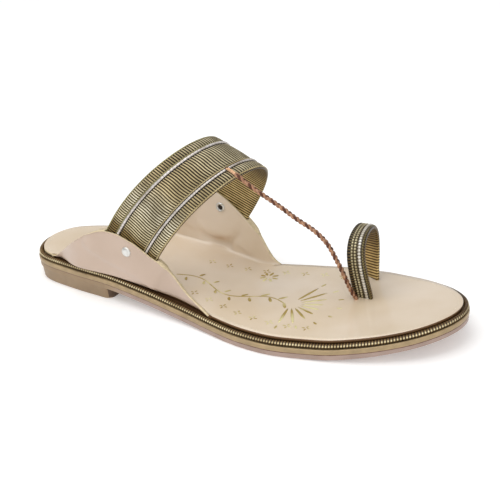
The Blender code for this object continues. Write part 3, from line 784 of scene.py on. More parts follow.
class SlipperSole(bpy.types.PropertyGroup):
    rand: color("Rand", "#b09872", "Khaki gold rand under the bead")
    outsole: color("Outsole", "#b0988c", "Greyish pink outsole")
    heel: color("Heel", "#a08768", "Tan heel block")
    # The heel breast colour is painted shadow on its front face.
    breast: color("Heel breast", "#5c4632", "Dark front face of the heel block")
    seam: color("Seam", "#5c2c1c", "Red-brown line between rand and outsole")
    copper: color("Copper", "#b8886a", "Copper strand of the thong")
    copper_dark: color("Dark strand", "#6c4230", "Red-brown strand of the thong")
    # The wrap colour is the copper lightened as painted highlight.
    copper_highlight: color("Wrap", "#f0c096", "Bright copper strands over the band's front strip")
    # Knots and hole: dark thread of the knot, and painted shade in the hole at the wrap's start.
    knots_and_hole: color("Knots", "#3a2014", "Dark thread at both ends of the wrap")
    copper_pale: color("Pale strand", "#c89878", "Pale copper strand of the thong")


class SlipperPrint(bpy.types.PropertyGroup):
    pale: color("Pale foil", "#ece2a8", "Pale yellow foil")
    gold: color("Gold foil", "#b49a4c", "Antique gold foil")
    stroke: length("Stroke", 0.8 * MM, "Width of the print's strokes")


class SlipperStage(bpy.types.PropertyGroup):
    floor: color("Floor", "#f4f4f4", "Pale floor")
    # The paper's glow is painted light: it keeps the floor white under the shoe's shadow and lights the
    # shoe from below.
    glow: FloatProperty(name="Floor glow", description="How bright the lit paper is", default=0.25, min=0)
    sky: FloatProperty(name="Surroundings", description="Light from all sides", default=0.45, min=0)
    key: power("Key light", 10.5, "Power of the large light above the lateral side")
    fill: power("Fill light", 3.0, "Power of the light before the lateral side")
    rim: power("Rim light", 1.5, "Power of the light behind the medial side")


# Materials

# Brown streak on the medial wing, partly glue and partly painted shade of the dent: place on the band's
# tucked end, tilt and reach
STREAK_ACROSS, STREAK_DOWN = 9 * MM, 26 * MM
STREAK_TILT = -8 * DEGREE
STREAK_REACH = (11 * MM, 8 * MM, 3.6 * MM)
# Part of the way round a turn of the bead, as a share of its UV map, that carries the painted highlight
BRIGHT_FROM, BRIGHT_TO = 0.60, 0.80


def ribbed_thread(name, ribs, light, middle, dark, painted_light, metallic=0.45, roughness=0.34):
    """Metallic thread wound over a padded core: a painted highlight on the rib tops, painted shade over
    the dark ground in the grooves, and painted light and shade along the strip.

    The table of painted light holds shares of the strip's length and the thread's colour there, lightened
    or darkened as painted light and shade.
    """
    material, tree, shader = new_material(name, Metallic=metallic, Roughness=roughness)
    along = split(tree, "UV")["Y"]
    scaled = add(tree, "Math", {0: along, 1: ribs}, operation='MULTIPLY').outputs[0]
    phase = add(tree, "Math", {0: scaled}, operation='FRACT').outputs[0]
    # Each rib's phase: painted shade in the grooves, the thread's colour on the sides, painted highlight
    # on the top.
    rib = add(tree, "ValToRGB", {"Fac": phase}, stops=(
        (0.0, dark), (1.0, dark), (0.14, dark), (0.28, middle), (0.42, light), (0.62, light),
        (0.76, middle), (0.9, dark),
    )).outputs["Color"]
    painted_light_along = add(tree, "ValToRGB", {"Fac": along}, stops=[(at, srgb(code)) for at, code in painted_light])
    rib = mix(tree, 1.0, rib, painted_light_along.outputs["Color"], 'MULTIPLY')
    worn = mottle(tree, 9 * MM, 2.0, (0.35, srgb("#a8a290")), (0.7, srgb("#ffffff")))
    link(tree, mix(tree, 0.7, rib, worn, 'MULTIPLY'), shader, "Base Color")
    bump(tree, shader, noise(tree, 0.35 * MM, 3.0), 0.05 * MM)
    return material


def thread_ground(name, code):
    """Dull woven ground that shows in grooves and along edges."""
    material, tree, shader = new_material(name, Metallic=0.2, Roughness=0.6)
    fibres = mottle(tree, 0.5 * MM, 3.0, (0.3, darker(code, 0.6)), (0.7, code))
    link(tree, fibres, shader, "Base Color")
    bump(tree, shader, noise(tree, 0.3 * MM, 3.0), 0.06 * MM)
    return material


def wound_thread(name, light, dark, metallic, roughness=0.3):
    """Thread wound round a cord, one bead to a turn: a painted highlight in its middle, painted shade
    where turns meet.
    """
    material, tree, shader = new_material(name, Metallic=metallic, Roughness=roughness)
    turn = add(tree, "ValToRGB", {"Fac": split(tree, "UV")["Y"]}, stops=(
        (0.24, dark), (0.76, dark), (0.44, light), (0.56, light))).outputs["Color"]
    patches = mottle(tree, 6 * MM, 2.0, (0.3, srgb("#b0a080")), (0.7, srgb("#ffffff")))
    link(tree, mix(tree, 0.6, turn, patches, 'MULTIPLY'), shader, "Base Color")
    return material


def streaked_thread(name, painted_highlight, dull, dark):
    """Metallic thread wound on a cord: a painted highlight on its outer side, dull above it and below it,
    painted shade where turns meet.
    """
    material, tree, shader = new_material(name, Metallic=0.4, Roughness=0.32)
    place = split(tree, "UV")
    outer = add(tree, "ValToRGB", {"Fac": place["X"]}, stops=(
        (0.0, dull), (1.0, dull), (BRIGHT_FROM, dull), (BRIGHT_FROM + 0.08, painted_highlight),
        (BRIGHT_TO - 0.08, painted_highlight), (BRIGHT_TO, dull))).outputs["Color"]
    turn = add(tree, "ValToRGB", {"Fac": place["Y"]}, stops=(
        (0.26, (0, 0, 0)), (0.74, (0, 0, 0)), (0.42, (1, 1, 1)), (0.58, (1, 1, 1)))).outputs["Color"]
    patches = mottle(tree, 12 * MM, 2.0, (0.3, srgb("#a89878")), (0.6, srgb("#ffffff")))
    link(tree, mix(tree, 0.7, mix(tree, turn, dark, outer), patches, 'MULTIPLY'), shader, "Base Color")
    return material


def patent_leather(name, base, shade, glue_and_shade_streak):
    """Smooth coated leather: a clear gloss over soft blotches of two close tints and a faint grain.

    A brown streak under the band's tucked end on the medial wing is partly glue and partly painted shade
    of the dent there.
    """
    material, tree, shader = new_material(name, Roughness=0.34, IOR=1.5, Coat_Weight=0.5,
                                          Coat_Roughness=0.12)
    blotch = mottle(tree, 40 * MM, 3.0, (0.35, (0, 0, 0)), (0.7, (1, 1, 1)))
    foot = band_foot(WINGS[MEDIAL])
    middle = foot + band_ruling(np.array(1.0)) * STREAK_ACROSS - band_up() * STREAK_DOWN + SHIFT
    place = add(tree, "Mapping", {"Vector": add(tree, "TexCoord").outputs["Object"],
                                  "Location": middle.tolist(), "Rotation": (0, STREAK_TILT, 0),
                                  "Scale": STREAK_REACH}, vector_type='TEXTURE')
    near = add(tree, "TexGradient", {"Vector": place.outputs["Vector"]}, gradient_type='QUADRATIC_SPHERE')
    coat = mix(tree, blotch, base, shade)
    link(tree, mix(tree, near.outputs["Fac"], coat, glue_and_shade_streak), shader, "Base Color")
    bump(tree, shader, noise(tree, 0.9 * MM, 4.0), 0.012 * MM)
    return material


def fibrous_matte(name, code):
    """Matte surface with short fibres: raw edges of leather and board, painted or bare, glue, and dark
    patches of painted shade.
    """
    material, tree, shader = new_material(name, Roughness=0.5)
    fibres = mottle(tree, 1.5 * MM, 4.0, (0.3, darker(code, 0.75)), (0.7, code))
    link(tree, fibres, shader, "Base Color")
    bump(tree, shader, noise(tree, 0.4 * MM, 3.0), 0.04 * MM)
    return material


def polished_metal(name, code):
    """Nickel-plated steel, lightly tarnished in blotches."""
    material, tree, shader = new_material(name, Metallic=1.0)
    link(tree, mix(tree, noise(tree, 1.2 * MM, 3.0), code, srgb("#c6c4be")), shader, "Base Color")
    rough = add(tree, "MapRange", {"Value": noise(tree, 0.8 * MM), "To Min": 0.34,
                                   "To Max": 0.54}).outputs["Result"]
    link(tree, rough, shader, "Roughness")
    return material


def sole_rubber(name, sole, heel):
    """Moulded rubber: greyish pink along the sole, and the heel block stained a flat tan."""
    material, tree, shader = new_material(name, Roughness=0.5, IOR=1.52)
    breast = float(SHIFT[0] + HEEL_LENGTH)
    front = add(tree, "MapRange", {"Value": split(tree, "Object")["X"], "From Min": breast + 2 * MM,
                                   "From Max": breast + 16 * MM}).outputs["Result"]
    stained = mix(tree, front, heel, sole)
    worn = mottle(tree, 14 * MM, 3.0, (0.3, srgb("#d8d4d0")), (0.7, srgb("#ffffff")))
    link(tree, mix(tree, 0.8, stained, worn, 'MULTIPLY'), shader, "Base Color")
    bump(tree, shader, noise(tree, 0.6 * MM, 3.0), 0.02 * MM)
    return material


def painted_rand(name, code):
    """Fibre rand painted a dull khaki gold, streaked along the sole by the brush."""
    material, tree, shader = new_material(name, Metallic=0.35, Roughness=0.42)
    streaks = mottle(tree, 5 * MM, 4.0, (0.25, darker(code, 0.72)), (0.65, code))
    link(tree, streaks, shader, "Base Color")
    bump(tree, shader, noise(tree, 0.5 * MM, 3.0), 0.03 * MM)
    return material


def foil(name, pale, gold):
    """Hot-stamped foil: from worn pale yellow to full antique gold in patches."""
    material, tree, shader = new_material(name, Metallic=0.35, Roughness=0.3)
    patch = mottle(tree, 12 * MM, 2.0, (0.42, (0, 0, 0)), (0.58, (1, 1, 1)))
    link(tree, mix(tree, patch, pale, gold), shader, "Base Color")
    return material


def twisted_strand(name, code):
    """Lurex-covered strand of the thong: metallic, with dull flecks where the covering is twisted."""
    material, tree, shader = new_material(name, Metallic=0.45, Roughness=0.4)
    flecks = mottle(tree, 0.9 * MM, 3.0, (0.32, darker(code, 0.45)), (0.62, code))
    link(tree, flecks, shader, "Base Color")
    bump(tree, shader, noise(tree, 0.5 * MM, 3.0), 0.08 * MM)
    return material


def stitch_thread(name, code):
    """Waxed polyester thread, with a soft sheen."""
    material, tree, shader = new_material(name, Roughness=0.45, Sheen_Weight=0.2)
    worn = mottle(tree, 3 * MM, 2.0, (0.3, darker(code, 0.8)), (0.7, code))
    link(tree, worn, shader, "Base Color")
    return material


def studio_paper(name, code, glow):
    """White background paper given a glow of its own, painted light that keeps it white under the shoe's
    shadow and lights the shoe from below.
    """
    material, tree, shader = new_material(name, Roughness=0.9, Emission_Strength=glow)
    shader.inputs["Emission Color"].default_value = (1, 1, 1, 1)
    paper = mottle(tree, 150 * MM, 2.0, (0.0, darker(code, 0.97)), (1.0, code))
    link(tree, paper, shader, "Base Color")
    return material


def opaque(prop):
    return (*prop, 1.0)


# Operators

class SLIPPER_OT_sole(bpy.types.Operator):
    """Smooth outsole and rand, with the seam drawn between them"""
    bl_idname = "slipper.sole"
    bl_label = "Sole"

    def execute(self, context):
        look = context.scene.slipper_sole
        outsole = copy_of_node("outsole_body", "outsole")
        settle(outsole, "outsole", "nude_rubber",
               sole_rubber("moulded_rubber", opaque(look.outsole), opaque(look.heel)),
               fibrous_matte("heel_breast_painted_shadow", opaque(look.breast)))
        # Faces on the heel's breast get the dark brown: painted shadow.
        for face in outsole.data.polygons:
            at = face.center.x - SHIFT[0] - HEEL_LENGTH
            face.material_index = int(face.normal.x > BREAST_FACING and abs(at) < BREAST_REACH)
        rand = copy_of_node("rand_body", "midsole")
        settle(rand, "midsole", "gold_rand", painted_rand("painted_rand", opaque(look.rand)))
        board = copy_of_node("board_body", "insole_board")
        settle(board, "insole_board", "brown_board", fibrous_matte("bonded_leather", srgb("#5a3c22")))
        seam = cord("sole_seam", sole_path(SEAM, SEAM_HEIGHT, SEAM_STEP), SEAM / 2, ring=True)
        settle(seam, None, "brown_board", fibrous_matte("seam_glue", opaque(look.seam)))
        return {'FINISHED'}


class SLIPPER_OT_piping(bpy.types.Operator):
    """Bead of thread wound on the slant round a cord, all round the sole"""
    bl_idname = "slipper.piping"
    bl_label = "Bead piping"

    def execute(self, context):
        look = context.scene.slipper_ribs
        path = sole_path(BEAD_INSET + BEAD / 2, BOARD_LOW + BEAD / 2, look.bead_pitch)
        slanted = path._replace(
            along=path.along * math.cos(BEAD_SLANT) + path.up * math.sin(BEAD_SLANT),
            up=path.up * math.cos(BEAD_SLANT) - path.along * math.sin(BEAD_SLANT),
        )
        turn = turn_of(BEAD_OVERLAP * look.bead_pitch, BEAD, BEAD)
        piping = spread("wound_piping", turn, slanted)
        settle(piping, "piping", "antique_gold",
               streaked_thread("wound_gold_thread", opaque(look.bead), opaque(look.bead_dull),
                               opaque(look.bead_dark)))
        core = cord("piping_core", path, BEAD * BEAD_CORE, ring=True)
        settle(core, None, "antique_gold", thread_ground("piping_ground", opaque(look.bead_dark)))
        return {'FINISHED'}


# Soft creases of the leather: side, distance along, height up the wing, half length, half width, depth
CREASES = (
    (MEDIAL, 92 * MM, 12 * MM, 16 * MM, 2.2 * MM, 0.30 * MM),
    (MEDIAL, 100 * MM, 7 * MM, 22 * MM, 1.8 * MM, 0.25 * MM),
    (MEDIAL, 118 * MM, 16 * MM, 10 * MM, 2.5 * MM, -0.30 * MM),
    (MEDIAL, 84 * MM, 17 * MM, 12 * MM, 2.6 * MM, -0.22 * MM),
    (LATERAL, 40 * MM, 8 * MM, 14 * MM, 2.5 * MM, 0.20 * MM),
    (LATERAL, 62 * MM, 6 * MM, 22 * MM, 2.2 * MM, 0.18 * MM),
    (LATERAL, 100 * MM, 7 * MM, 12 * MM, 2.0 * MM, -0.15 * MM),
)
# Share of the length, then how far up the leather's outside its dark brown lower edge, painted shade under
# the bend, reaches
SHADED_EDGE = (
    (0.0, 0.2 * MM),
    (0.10, 0.4 * MM),
    (0.22, 0.7 * MM),
    (0.34, 1.0 * MM),
    (0.44, 1.4 * MM),
    (0.56, 1.4 * MM),
    (1.0, 1.2 * MM),
)
# Line along which the medial wing's leather sinks round the band's tucked end: across the band from its
# middle, down from its foot, and how deep
DENT = (
    (-15.0 * MM, 20.0 * MM, 0.0 * MM),
    (-12.5 * MM, 28.0 * MM, 1.0 * MM),
    (-6.0 * MM, 31.0 * MM, 1.6 * MM),
    (2.0 * MM, 29.5 * MM, 2.0 * MM),
    (9.5 * MM, 25.0 * MM, 2.2 * MM),
    (13.0 * MM, 15.0 * MM, 1.4 * MM),
    (13.5 * MM, 4.0 * MM, 0.0 * MM),
)
DENT_WIDTH = 2.0 * MM
HEEL_TRIM = 24 * MM
TRIM_HEIGHT = 0.4 * MM
LEATHER_ROWS = 320
FLAT_COLUMNS = 28
BEND_COLUMNS = 16
UPRIGHT_COLUMNS = 22
TOP_FACE, OUTER_FACE, TRIM_FACE, SHADED_EDGE_FACE = range(4)


def crease_depth(side, x, up):
    """How far the creases push the leather out at a place along the shoe and a height up the wing."""
    total = np.zeros(np.broadcast(x, up).shape)
    for crease_side, along, height, half, width, depth in CREASES:
        if crease_side == side:
            reach = np.clip(1 - ((x - along) / half) ** 2, 0, 1) ** 2
            total += depth * reach * np.exp(-((up - height) / width) ** 2)
    return total


def pocket_dent(wing, x, z):
    """How deep the leather sinks round the band's tucked end."""
    place = np.stack(on_tongue(wing, x, z), axis=-1)
    dent = np.zeros(place.shape[:-1])
    if wing.side == MEDIAL:
        for first, second in zip(DENT, DENT[1:]):
            start, end = np.array(first[:2]), np.array(second[:2])
            share = np.clip((place - start) @ (end - start) / np.sum((end - start) ** 2), 0, 1)
            away = np.linalg.norm(place - start - share[..., None] * (end - start), axis=-1)
            dent = np.maximum(dent, blend(first[2], second[2], share) * np.exp(-(away / DENT_WIDTH) ** 2))
    return dent


Side = namedtuple("Side", "inner outer height up")
shaded_edge_height = curve(*np.array(SHADED_EDGE).T)


def leather_side(u, side):
    """Half sections of the leather, from the footbed's edge out and up to the wing's free edge.

    Gives the inner and the outer face, as rows by columns of points, the wing's height in each row and
    how far up each point lies. The first half of the bend's columns ends where the painted shade along the
    lower edge does.
    """
    wing = WINGS[side]
    x, y = edge(u, side, LEATHER_INSET).T[..., None]
    low = ground(x) + LEATHER_LOW + LEATHER / 2
    height = wing_height(wing, x)
    bend = np.arccos(np.maximum(1 - height / BEND_HEIGHT, 0))
    root = side * y - LEATHER / 2 * np.sin(bend)
    upright = soft_step(height / WING_UPRIGHT)
    reach = BEND_WIDTH * np.clip(height / BEND_HEIGHT, 0.1, 1)
    width = reach + (wing.half_span - root) * upright
    shaded_edge = np.arccos(1 - np.minimum(shaded_edge_height(x / LENGTH), height) / BEND_HEIGHT)
    share = np.linspace(0, 1, BEND_COLUMNS // 2 + 1)
    angle = np.concatenate((shaded_edge * share, blend(np.minimum(shaded_edge, bend), bend, share[1:])), axis=1)
    straight = np.maximum(height - BEND_HEIGHT, 0) * np.linspace(0, 1, UPRIGHT_COLUMNS + 1)[1:]
    out = root - reach * np.sin(bend) + width * np.sin(angle)
    up = BEND_HEIGHT * (1 - np.cos(angle))
    inward = unit(spot(0, -BEND_HEIGHT * np.sin(angle), width * np.cos(angle)))
    out = np.concatenate((out, np.repeat(out[:, -1:], UPRIGHT_COLUMNS, axis=1)), axis=1)
    inward = np.concatenate((inward, np.repeat(inward[:, -1:], UPRIGHT_COLUMNS, axis=1)), axis=1)
    up = np.concatenate((up, up[:, -1:] + straight), axis=1)
    far = pocket_distance(wing, x + 0 * up, low + up)
    rooted = upright * soft_step(up / BEND_HEIGHT)
    filled = (1 - soft_step(far / POCKET_FADE)) * rooted
    dent = pocket_dent(wing, x + 0 * up, low + up) * rooted
    thickness = blend(LEATHER, POCKET_THICKNESS, filled)[..., None]
    push = (crease_depth(side, x, up) * upright - dent)[..., None]
    middle = spot(x, out, low + up) + inward * push
    faces = []
    for sign in (1, -1):
        face = middle + sign * inward * thickness / 2
        face[..., 1] *= side
        faces.append(face)
    return Side(faces[0], faces[1], height[:, 0], up)


class SLIPPER_OT_leather(bpy.types.Operator):
    """Footbed and wings of one glossy sheet, creased, with its cut edges and dark brown painted shade
    along its lower edge
    """
    bl_idname = "slipper.leather"
    bl_label = "Leather top"

    def execute(self, context):
        look = context.scene.slipper_leather
        u = np.linspace(0, 1, LEATHER_ROWS + 1)
        lateral, medial = leather_side(u, LATERAL), leather_side(u, MEDIAL)
        shares = np.linspace(0, 1, FLAT_COLUMNS + 1)[1:-1, None]
        flat_top = blend(lateral.inner[:, :1], medial.inner[:, :1], shares)
        flat_low = blend(lateral.outer[:, :1], medial.outer[:, :1], shares)
        top = np.concatenate((lateral.inner[:, ::-1], flat_top, medial.inner), axis=1)
        low = np.concatenate((lateral.outer[:, ::-1], flat_low, medial.outer), axis=1)[:, ::-1]
        points = np.concatenate((top, low, top[:, :1]), axis=1)

        columns, wing_columns = top.shape[1], BEND_COLUMNS + UPRIGHT_COLUMNS
        last = 2 * columns - 1
        x = rim(u[:-1], LATERAL)[:, 0]
        # The bend's lower half, the low rims and the sheet's underside take the dark brown painted shade.
        zone = np.where(np.arange(wing_columns) < BEND_COLUMNS // 2, SHADED_EDGE_FACE, OUTER_FACE)
        rims = {side: np.where((part.height[:-1] > TRIM_HEIGHT) | (x < HEEL_TRIM), TRIM_FACE, SHADED_EDGE_FACE)
                for side, part in ((LATERAL, lateral), (MEDIAL, medial))}
        face = np.full((LEATHER_ROWS, last + 1), TOP_FACE)
        face[:, columns:last] = SHADED_EDGE_FACE
        face[:, columns - 1] = rims[MEDIAL]
        face[:, last] = rims[LATERAL]
        face[:, columns:columns + wing_columns] = zone[::-1]
        face[:, last - wing_columns:last] = zone

        leather = skin("leather_sheet", points, face, closed=True)
        settle(
            leather, "leather_top", "nude_leather",
            patent_leather("patent_leather", opaque(look.footbed), opaque(look.shade),
                           opaque(look.glue_and_shade_streak)),
            # Outer face of the wings: pinker, and darker as painted shade.
            patent_leather("patent_leather_outside_shaded", opaque(look.wing), opaque(look.wing_shade),
                           opaque(look.glue_and_shade_streak)),
            fibrous_matte("bare_cut_edge", opaque(look.trim)),
            fibrous_matte("painted_shade_lower_edge", opaque(look.shaded_edge)),
        )
        for wing in WINGS.values():
            cut_pocket(leather, wing)
        return {'FINISHED'}


def cut_pocket(leather, wing):
    """Cuts the slot in a wing's free edge that the band comes out of."""
    size = np.array((BAND_WIDTH / 2 + FIT_GAP, BAND_THICKNESS / 2 + FIT_GAP, POCKET_CUT))
    bpy.ops.object.select_all(action='DESELECT')
    bpy.ops.mesh.primitive_cube_add(size=2)
    cutter = bpy.context.active_object
    for vertex in cutter.data.vertices:
        across, out, up = np.array(vertex.co) * size
        vertex.co = band_point(band_end(wing), across, out) + band_up() * up + SHIFT
    for material in leather.data.materials:
        cutter.data.materials.append(material)
    for face in cutter.data.polygons:
        # The slot's walls take the same dark brown painted shade.
        face.material_index = SHADED_EDGE_FACE
    in_edit_mode(cutter, (bpy.ops.mesh.normals_make_consistent, {"inside": False}))
    only(leather)
    bpy.ops.object.modifier_add(type='BOOLEAN')
    modifier = leather.modifiers[-1]
    modifier.object = cutter
    modifier.operation = 'DIFFERENCE'
    modifier.solver = 'EXACT'
    bpy.ops.object.modifier_apply(modifier=modifier.name)
    bpy.data.objects.remove(cutter)


# Strips of ribs across the band, from its rear edge: start, end, columns, and share of the ribs' sway
BAND_STRIPS = (
    (0.5 * MM, 5.4 * MM, 7, 0.0),
    (8.0 * MM, 23.2 * MM, 18, 1.0),
    (26.1 * MM, 31.2 * MM, 7, 0.0),
)
# The toe loop's ribbed roll, from its rear edge
LOOP_STRIPS = (
    (0.2 * MM, 2.7 * MM, 6, 0.0),
)
# Lines wound along a strip: place across it from its rear edge, lift above its wall, spacing of the
# turns, their width and height, and their thread
BAND_LINES = (
    ("rear_silver_line", SILVER_LINE_REAR, 0.35 * MM, 2.2 * MM, 1.5 * MM, 1.3 * MM, "silver"),
    ("rear_olive_bead", 5.85 * MM, 0.2 * MM, 1.3 * MM, 0.75 * MM, 0.8 * MM, "olive"),
    ("front_tan_cord", 23.7 * MM, 0.15 * MM, 1.4 * MM, 0.8 * MM, 0.9 * MM, "beige"),
    ("front_silver_line", SILVER_LINE_FRONT, 0.35 * MM, 1.7 * MM, 1.35 * MM, 1.2 * MM, "silver"),
    ("front_cord", 31.6 * MM, 0.1 * MM, 1.6 * MM, 0.85 * MM, 0.9 * MM, "beige"),
    ("rear_cord", 0.35 * MM, 0.0 * MM, 1.6 * MM, 0.7 * MM, 0.8 * MM, "olive"),
)
LOOP_LINES = (
    ("loop_rear_beads", 0.31 * LOOP_WIDTH, 0.15 * MM, 1.45 * MM, 1.1 * MM, 1.1 * MM, "pale"),
    ("loop_middle_beads", 0.50 * LOOP_WIDTH, 0.15 * MM, 1.45 * MM, 1.3 * MM, 1.2 * MM, "pale"),
    ("loop_silver_roll", 0.76 * LOOP_WIDTH, 0.15 * MM, 1.6 * MM, 2.0 * MM, 1.6 * MM, "silver"),
    ("loop_edge", 0.95 * LOOP_WIDTH, 0.05 * MM, 1.3 * MM, 0.8 * MM, 0.9 * MM, "olive"),
)
# Length of a turn against the turns' spacing: the band's run into one another, the loop's stand apart
BAND_OVERLAP, LOOP_OVERLAP = 2.2, 1.4
# Share of the strip's length from its lateral end, then the thread's colour there as painted light:
# lighter where the strip faces the lights, darker between, and the linings darker towards the crest as
# painted shade
BAND_PAINTED_LIGHT = ((0.0, "#9a8450"), (1.0, "#b8a878"), (0.06, "#a8925e"), (0.09, "#fff8e4"),
              (0.2, "#ffffff"), (0.3, "#dcd0b4"), (0.4, "#b8ac8e"), (0.54, "#e0dccf"), (0.7, "#d8d0b8"))
BAND_LINING_PAINTED_LIGHT = ((0.0, "#c0a878"), (1.0, "#fff2d0"), (0.6, "#6c6048"), (0.72, "#a09070"),
                     (0.84, "#fff2cc"))
LOOP_PAINTED_LIGHT = ((0.0, "#b8a070"), (1.0, "#c8b890"), (0.4, "#c8c4b8"))
LOOP_LINING_PAINTED_LIGHT = ((0.0, "#a09070"), (1.0, "#f4e4bc"), (0.55, "#5a4a34"), (0.72, "#a08c60"),
                     (0.85, "#f0dcac"))
LINING_COLUMNS = 12
RIB_ROWS = 6
# Height of a strip's padding at its sides, as a share of the full height, and how sharp a groove is
SIDE_PADDING = 0.25
GROOVE_SHARPNESS = 0.7
STRIP_STEP = 0.1 * MM
RIB_FACE, GROUND_FACE, LINING_FACE = range(3)
LOOP_LEG = 1.5 * MM


def ribbed_strip(name, point, wall, relief, width, arc, tuck, strips, look):
    """Strip of ribs over padding with a ribbed inner face, its ends tucked into the leather."""
    thickness = wall + relief
    columns = [(0.0, 0.0, 0.0, GROUND_FACE)]
    for start, end, count, sway in strips:
        for share in np.linspace(0, 1, count + 1):
            padding = blend(SIDE_PADDING, 1, math.sqrt(max(math.sin(math.pi * share), 0)))
            swayed = look.wave * sway * math.sin(2 * math.pi * share)
            columns.append((blend(start, end, share), padding, swayed, RIB_FACE))
        columns[-1] = (end, SIDE_PADDING, 0.0, GROUND_FACE)
        columns += [(end + STRIP_STEP, 0.0, 0.0, GROUND_FACE)] * 2
    columns.append((width, 0.0, 0.0, LINING_FACE))
    across, padding, sway, face = (np.array(values) for values in zip(*columns))
    total = arc + 2 * tuck
    ribs = round(total / look.pitch)
    row = np.arange(ribs * RIB_ROWS + 1)
    groove = 1 - np.abs(np.sin(np.pi * row / RIB_ROWS)) ** GROOVE_SHARPNESS
    place = -tuck + total * row / row[-1]
    ribbed = np.where(padding > 0, look.depth, 0)
    out = -thickness / 2 + wall + relief * padding - ribbed * groove[:, None]
    outer = point(place[:, None] + sway, across - width / 2, out)
    inside = np.linspace(width, 0, LINING_COLUMNS + 1)
    inner = point(place[:, None], inside - width / 2, -thickness / 2 + look.depth / 2 * groove[:, None])
    points = np.concatenate((outer, inner, outer[:, :1]), axis=1)
    faces = np.concatenate((face, np.full(LINING_COLUMNS + 1, LINING_FACE)))
    return skin(name, points, faces, closed=True), ribs


def wind_lines(point, ends, strip_width, base, overlap, lines, threads):
    """Lines of wound thread along a strip, from end to end."""
    for name, across, lift, pitch, width, height, thread in lines:
        path = strip_path(point, *ends, across - strip_width / 2, base + lift, pitch)
        piece = spread(name, turn_of(overlap * pitch, width, height), path)
        settle(piece, None, "antique_gold", threads[thread])


class SLIPPER_OT_band(bpy.types.Operator):
    """Instep band of three padded strips of wound thread, with silver lines between them"""
    bl_idname = "slipper.band"
    bl_label = "Instep band"

    def execute(self, context):
        look = context.scene.slipper_ribs
        band, ribs = ribbed_strip("ribbed_band", band_point, BAND_WALL, BAND_RELIEF, BAND_WIDTH, BAND_ARC,
                                  BAND_TUCK, BAND_STRIPS, look)
        tops = (opaque(look.light), opaque(look.middle), opaque(look.dark))
        settle(
            band, "instep_band", "antique_gold",
            ribbed_thread("gold_thread_ribs", ribs, *tops, BAND_PAINTED_LIGHT),
            thread_ground("woven_ground", opaque(look.dark)),
            ribbed_thread("gold_thread_lining", ribs, opaque(look.lining), opaque(look.lining_middle),
                          opaque(look.dark), BAND_LINING_PAINTED_LIGHT, metallic=0.25),
        )
        threads = {
            "silver": wound_thread("silver_wire", opaque(look.silver), srgb("#a8a098"), 0.5, 0.25),
            "olive": wound_thread("olive_thread", srgb("#a8a070"), srgb("#3c3418"), 0.4),
            "beige": wound_thread("beige_cord", srgb("#c8b88c"), srgb("#5c4c28"), 0.3),
        }
        wind_lines(band_point, (-BAND_TUCK, BAND_ARC + BAND_TUCK), BAND_WIDTH,
                   BAND_WALL - BAND_THICKNESS / 2, BAND_OVERLAP, BAND_LINES, threads)
        return {'FINISHED'}


class SLIPPER_OT_loop(bpy.types.Operator):
    """Toe loop: a ribbed roll, two rows of beads, a silver beaded roll and a thin edge"""
    bl_idname = "slipper.loop"
    bl_label = "Toe loop"

    def execute(self, context):
        look = context.scene.slipper_ribs
        loop, ribs = ribbed_strip("toe_loop_strip", loop_point, LOOP_WALL, LOOP_RELIEF, LOOP_WIDTH,
                                  LOOP_ARC, LOOP_LEG, LOOP_STRIPS, look)
        settle(
            loop, "toe_loop", "antique_gold",
            ribbed_thread("dark_thread_ribs", ribs, srgb("#9a8c66"), srgb("#544628"), opaque(look.dark),
                          LOOP_PAINTED_LIGHT),
            thread_ground("loop_ground", srgb("#4a3c20")),
            ribbed_thread("loop_lining", ribs, opaque(look.lining), opaque(look.lining_middle),
                          srgb("#5a4422"), LOOP_LINING_PAINTED_LIGHT),
        )
        threads = {
            "silver": wound_thread("silver_beads", srgb("#f6f4ee"), srgb("#a8a298"), 0.4, 0.25),
            "pale": wound_thread("pale_gold_beads", srgb("#e0d6b0"), srgb("#463a20"), 0.4),
            "olive": wound_thread("olive_edge", srgb("#94885a"), srgb("#3a3018"), 0.4),
        }
        wind_lines(loop_point, (-LOOP_LEG, LOOP_ARC + LOOP_LEG), LOOP_WIDTH,
                   LOOP_WALL - LOOP_THICKNESS / 2, LOOP_OVERLAP, LOOP_LINES, threads)
        return {'FINISHED'}


THONG_STEP = 0.35 * MM
PLAIT_PERIOD = 7 * MM
STRAND = 1.45 * MM
STRAND_SWING = 0.62 * MM
STRAND_RISE = 0.36 * MM
WRAP_STRAND = 1.05 * MM
KNOT = 2.2 * MM


def moved(path, aside, up):
    """Path beside another one, with its own frames."""
    shift = path.aside * np.reshape(aside, (-1, 1)) + path.up * np.reshape(up, (-1, 1))
    return line_path(path.points + shift)


